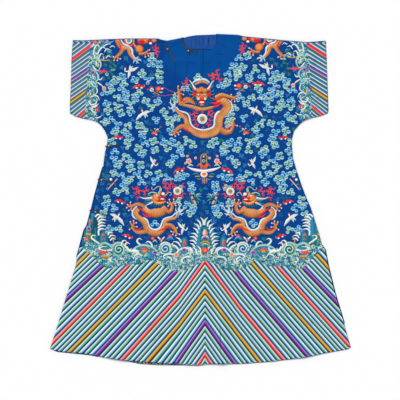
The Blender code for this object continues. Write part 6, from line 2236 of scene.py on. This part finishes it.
class ROBE_OT_sewing(bpy.types.Operator):
    """Rows of stitches along the seam, the overlap's edge, the hem and the cuffs"""

    bl_idname = "robe.sewing"
    bl_label = "Sewing"

    def execute(self, context):
        outer, inner = sewing()
        sew("stitches_outer", outer, "outer", plain_floss())
        sew("stitches_inner", inner, "inner", plain_floss())
        return {"FINISHED"}


class ROBE_OT_toggles(bpy.types.Operator):
    """Corded loops and straps with fluted ball buttons, as the frame places them"""

    bl_idname = "robe.toggles"
    bl_label = "Toggles"

    def execute(self, context):
        sizes = context.scene.robe_toggles
        cord, brass = silk_cord(), worn_brass()
        reach = sizes.ball_radius + sizes.cord_radius + GAP
        for number, item in enumerate(TOGGLES, 1):
            loop, strap, centre = toggle_lines(number, item, sizes.cord_radius)
            for kind, line in (("loop", loop), ("strap", strap)):
                laid = twisted(curve(line, CORD_STEP), sizes.cord_radius, CORD_STRANDS, sizes.lay_length,
                               CORD_SPOKES)
                piece(f"toggle_{number}_{kind}_cord", *laid, cord, [f"toggle_{number}_{kind}"])
            centre = centre + (0.0, 0.0, np.sqrt(reach**2 - EYE_RADIUS**2))
            ball = ball_button(centre, sizes.ball_radius)
            piece(f"toggle_{number}_ball", *ball, brass, [f"toggle_{number}_button"])
        return {"FINISHED"}


class ROBE_OT_bindings(bpy.types.Operator):
    """Rounded navy bindings of the back's side and hem edges"""

    bl_idname = "robe.bindings"
    bl_label = "Bindings"

    def execute(self, context):
        navy = plain_silk("navy silk", context.scene.robe_cloth.navy)
        for side, table, out, span in (
            ("right", RIGHT_EDGE, -1.0, RIGHT_BINDING_SPAN), ("left", LEFT_EDGE, 1.0, LEFT_BINDING_SPAN)
        ):
            y = np.linspace(*span, 90)
            binding(f"{side}_side_binding", stack(beside(table, y), y, 0 * y), (out, 0.0), navy)
        x = np.linspace(*HEM_BINDING_SPAN, 60)
        binding("hem_binding", stack(x, across(BACK_HEM, x), 0 * x), (0.0, -1.0), navy)
        return {"FINISHED"}


class ROBE_OT_sheets(bpy.types.Operator):
    """Looks up the pieces that each length of silk carries"""

    bl_idname = "robe.sheets"
    bl_label = "Cuts"

    def execute(self, context):
        sewn = {sheet: [PIECES[name] for name in names] for sheet, names in SEWN_ON.items()}
        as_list(sewn["right"])
        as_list(sewn["left"])
        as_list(sewn["overlap"])
        return {"FINISHED"}


class ROBE_OT_stage(bpy.types.Operator):
    """Pale floor, soft studio light and the camera straight above"""

    bl_idname = "robe.stage"
    bl_label = "Stage"

    def execute(self, context):
        scene, sizes = context.scene, context.scene.robe_stage
        bpy.ops.mesh.primitive_plane_add(size=FLOOR_SIDE, location=(0.0, 0.0, -GAP))
        floor = bpy.context.active_object
        floor.name = "floor"
        board, _, _ = finish("matt white board", Roughness=0.95, Base_Color=(*sizes.floor_colour, 1.0))
        floor.data.materials.append(board)
        floor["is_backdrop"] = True
        scene.world = bpy.data.worlds.new("room")
        scene.world.use_nodes = True
        light = scene.world.node_tree.nodes["Background"].inputs
        light["Color"].default_value = (1.0, 1.0, 1.0, 1.0)
        light["Strength"].default_value = sizes.world_light
        lamp = bpy.data.lights.new("key", "SUN")
        lamp.angle = np.radians(KEY_SOFTNESS)
        lamp.energy = sizes.key_light
        held = bpy.data.objects.new("key", lamp)
        held.rotation_euler = (*np.radians(KEY_TILT), 0.0)
        scene.collection.objects.link(held)
        camera = bpy.data.cameras.new("camera")
        camera.sensor_width = SENSOR
        camera.lens = SENSOR * sizes.camera_height / sizes.field
        camera.clip_end = 60.0
        seen = bpy.data.objects.new("camera", camera)
        centre = SHEET / 2
        seen.location = ((centre - MIDDLE[0]) * SQUARE, (MIDDLE[1] - centre) * SQUARE, sizes.camera_height)
        scene.collection.objects.link(seen)
        scene.camera = seen
        scene.view_settings.view_transform = "Standard"
        return {"FINISHED"}


class ROBE_PT_panel(bpy.types.Panel):
    """Steps and settings of the robe."""

    bl_label = "Dragon robe"
    bl_space_type = "VIEW_3D"
    bl_region_type = "UI"
    bl_category = "Robe"

    def draw(self, context):
        """A button for each step, then a box for each group of settings."""
        for step in STEPS:
            self.layout.operator(step.bl_idname)
        for key in GROUPS:
            box = self.layout.box()
            for name in GROUPS[key].__annotations__:
                box.prop(getattr(context.scene, key), name)


GROUPS = {
    "robe_cloth": RobeCloth, "robe_floss": RobeFloss, "robe_toggles": RobeToggles, "robe_stage": RobeStage,
}
STEPS = (
    ROBE_OT_silk, ROBE_OT_stripes, ROBE_OT_waves, ROBE_OT_dragons, ROBE_OT_sewing, ROBE_OT_toggles,
    ROBE_OT_bindings, ROBE_OT_sheets, ROBE_OT_stage,
)


def register():
    """Makes the settings, the steps and the panel known."""
    for key, group in GROUPS.items():
        bpy.utils.register_class(group)
        setattr(bpy.types.Scene, key, bpy.props.PointerProperty(type=group))
    for step in STEPS:
        bpy.utils.register_class(step)
    bpy.utils.register_class(ROBE_PT_panel)


def unregister():
    """Takes them away again."""
    bpy.utils.unregister_class(ROBE_PT_panel)
    for step in reversed(STEPS):
        bpy.utils.unregister_class(step)
    for key, group in GROUPS.items():
        delattr(bpy.types.Scene, key)
        bpy.utils.unregister_class(group)


def main():
    """Builds all pieces in order."""
    register()
    for step in STEPS:
        group, name = step.bl_idname.split(".")
        getattr(getattr(bpy.ops, group), name)()
    boxes = {"cad": CAD_BOX, "visual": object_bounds()}
    {key: [[float(v) for v in corner] for corner in box] for key, box in boxes.items()}


if __name__ == "__main__":
    main()
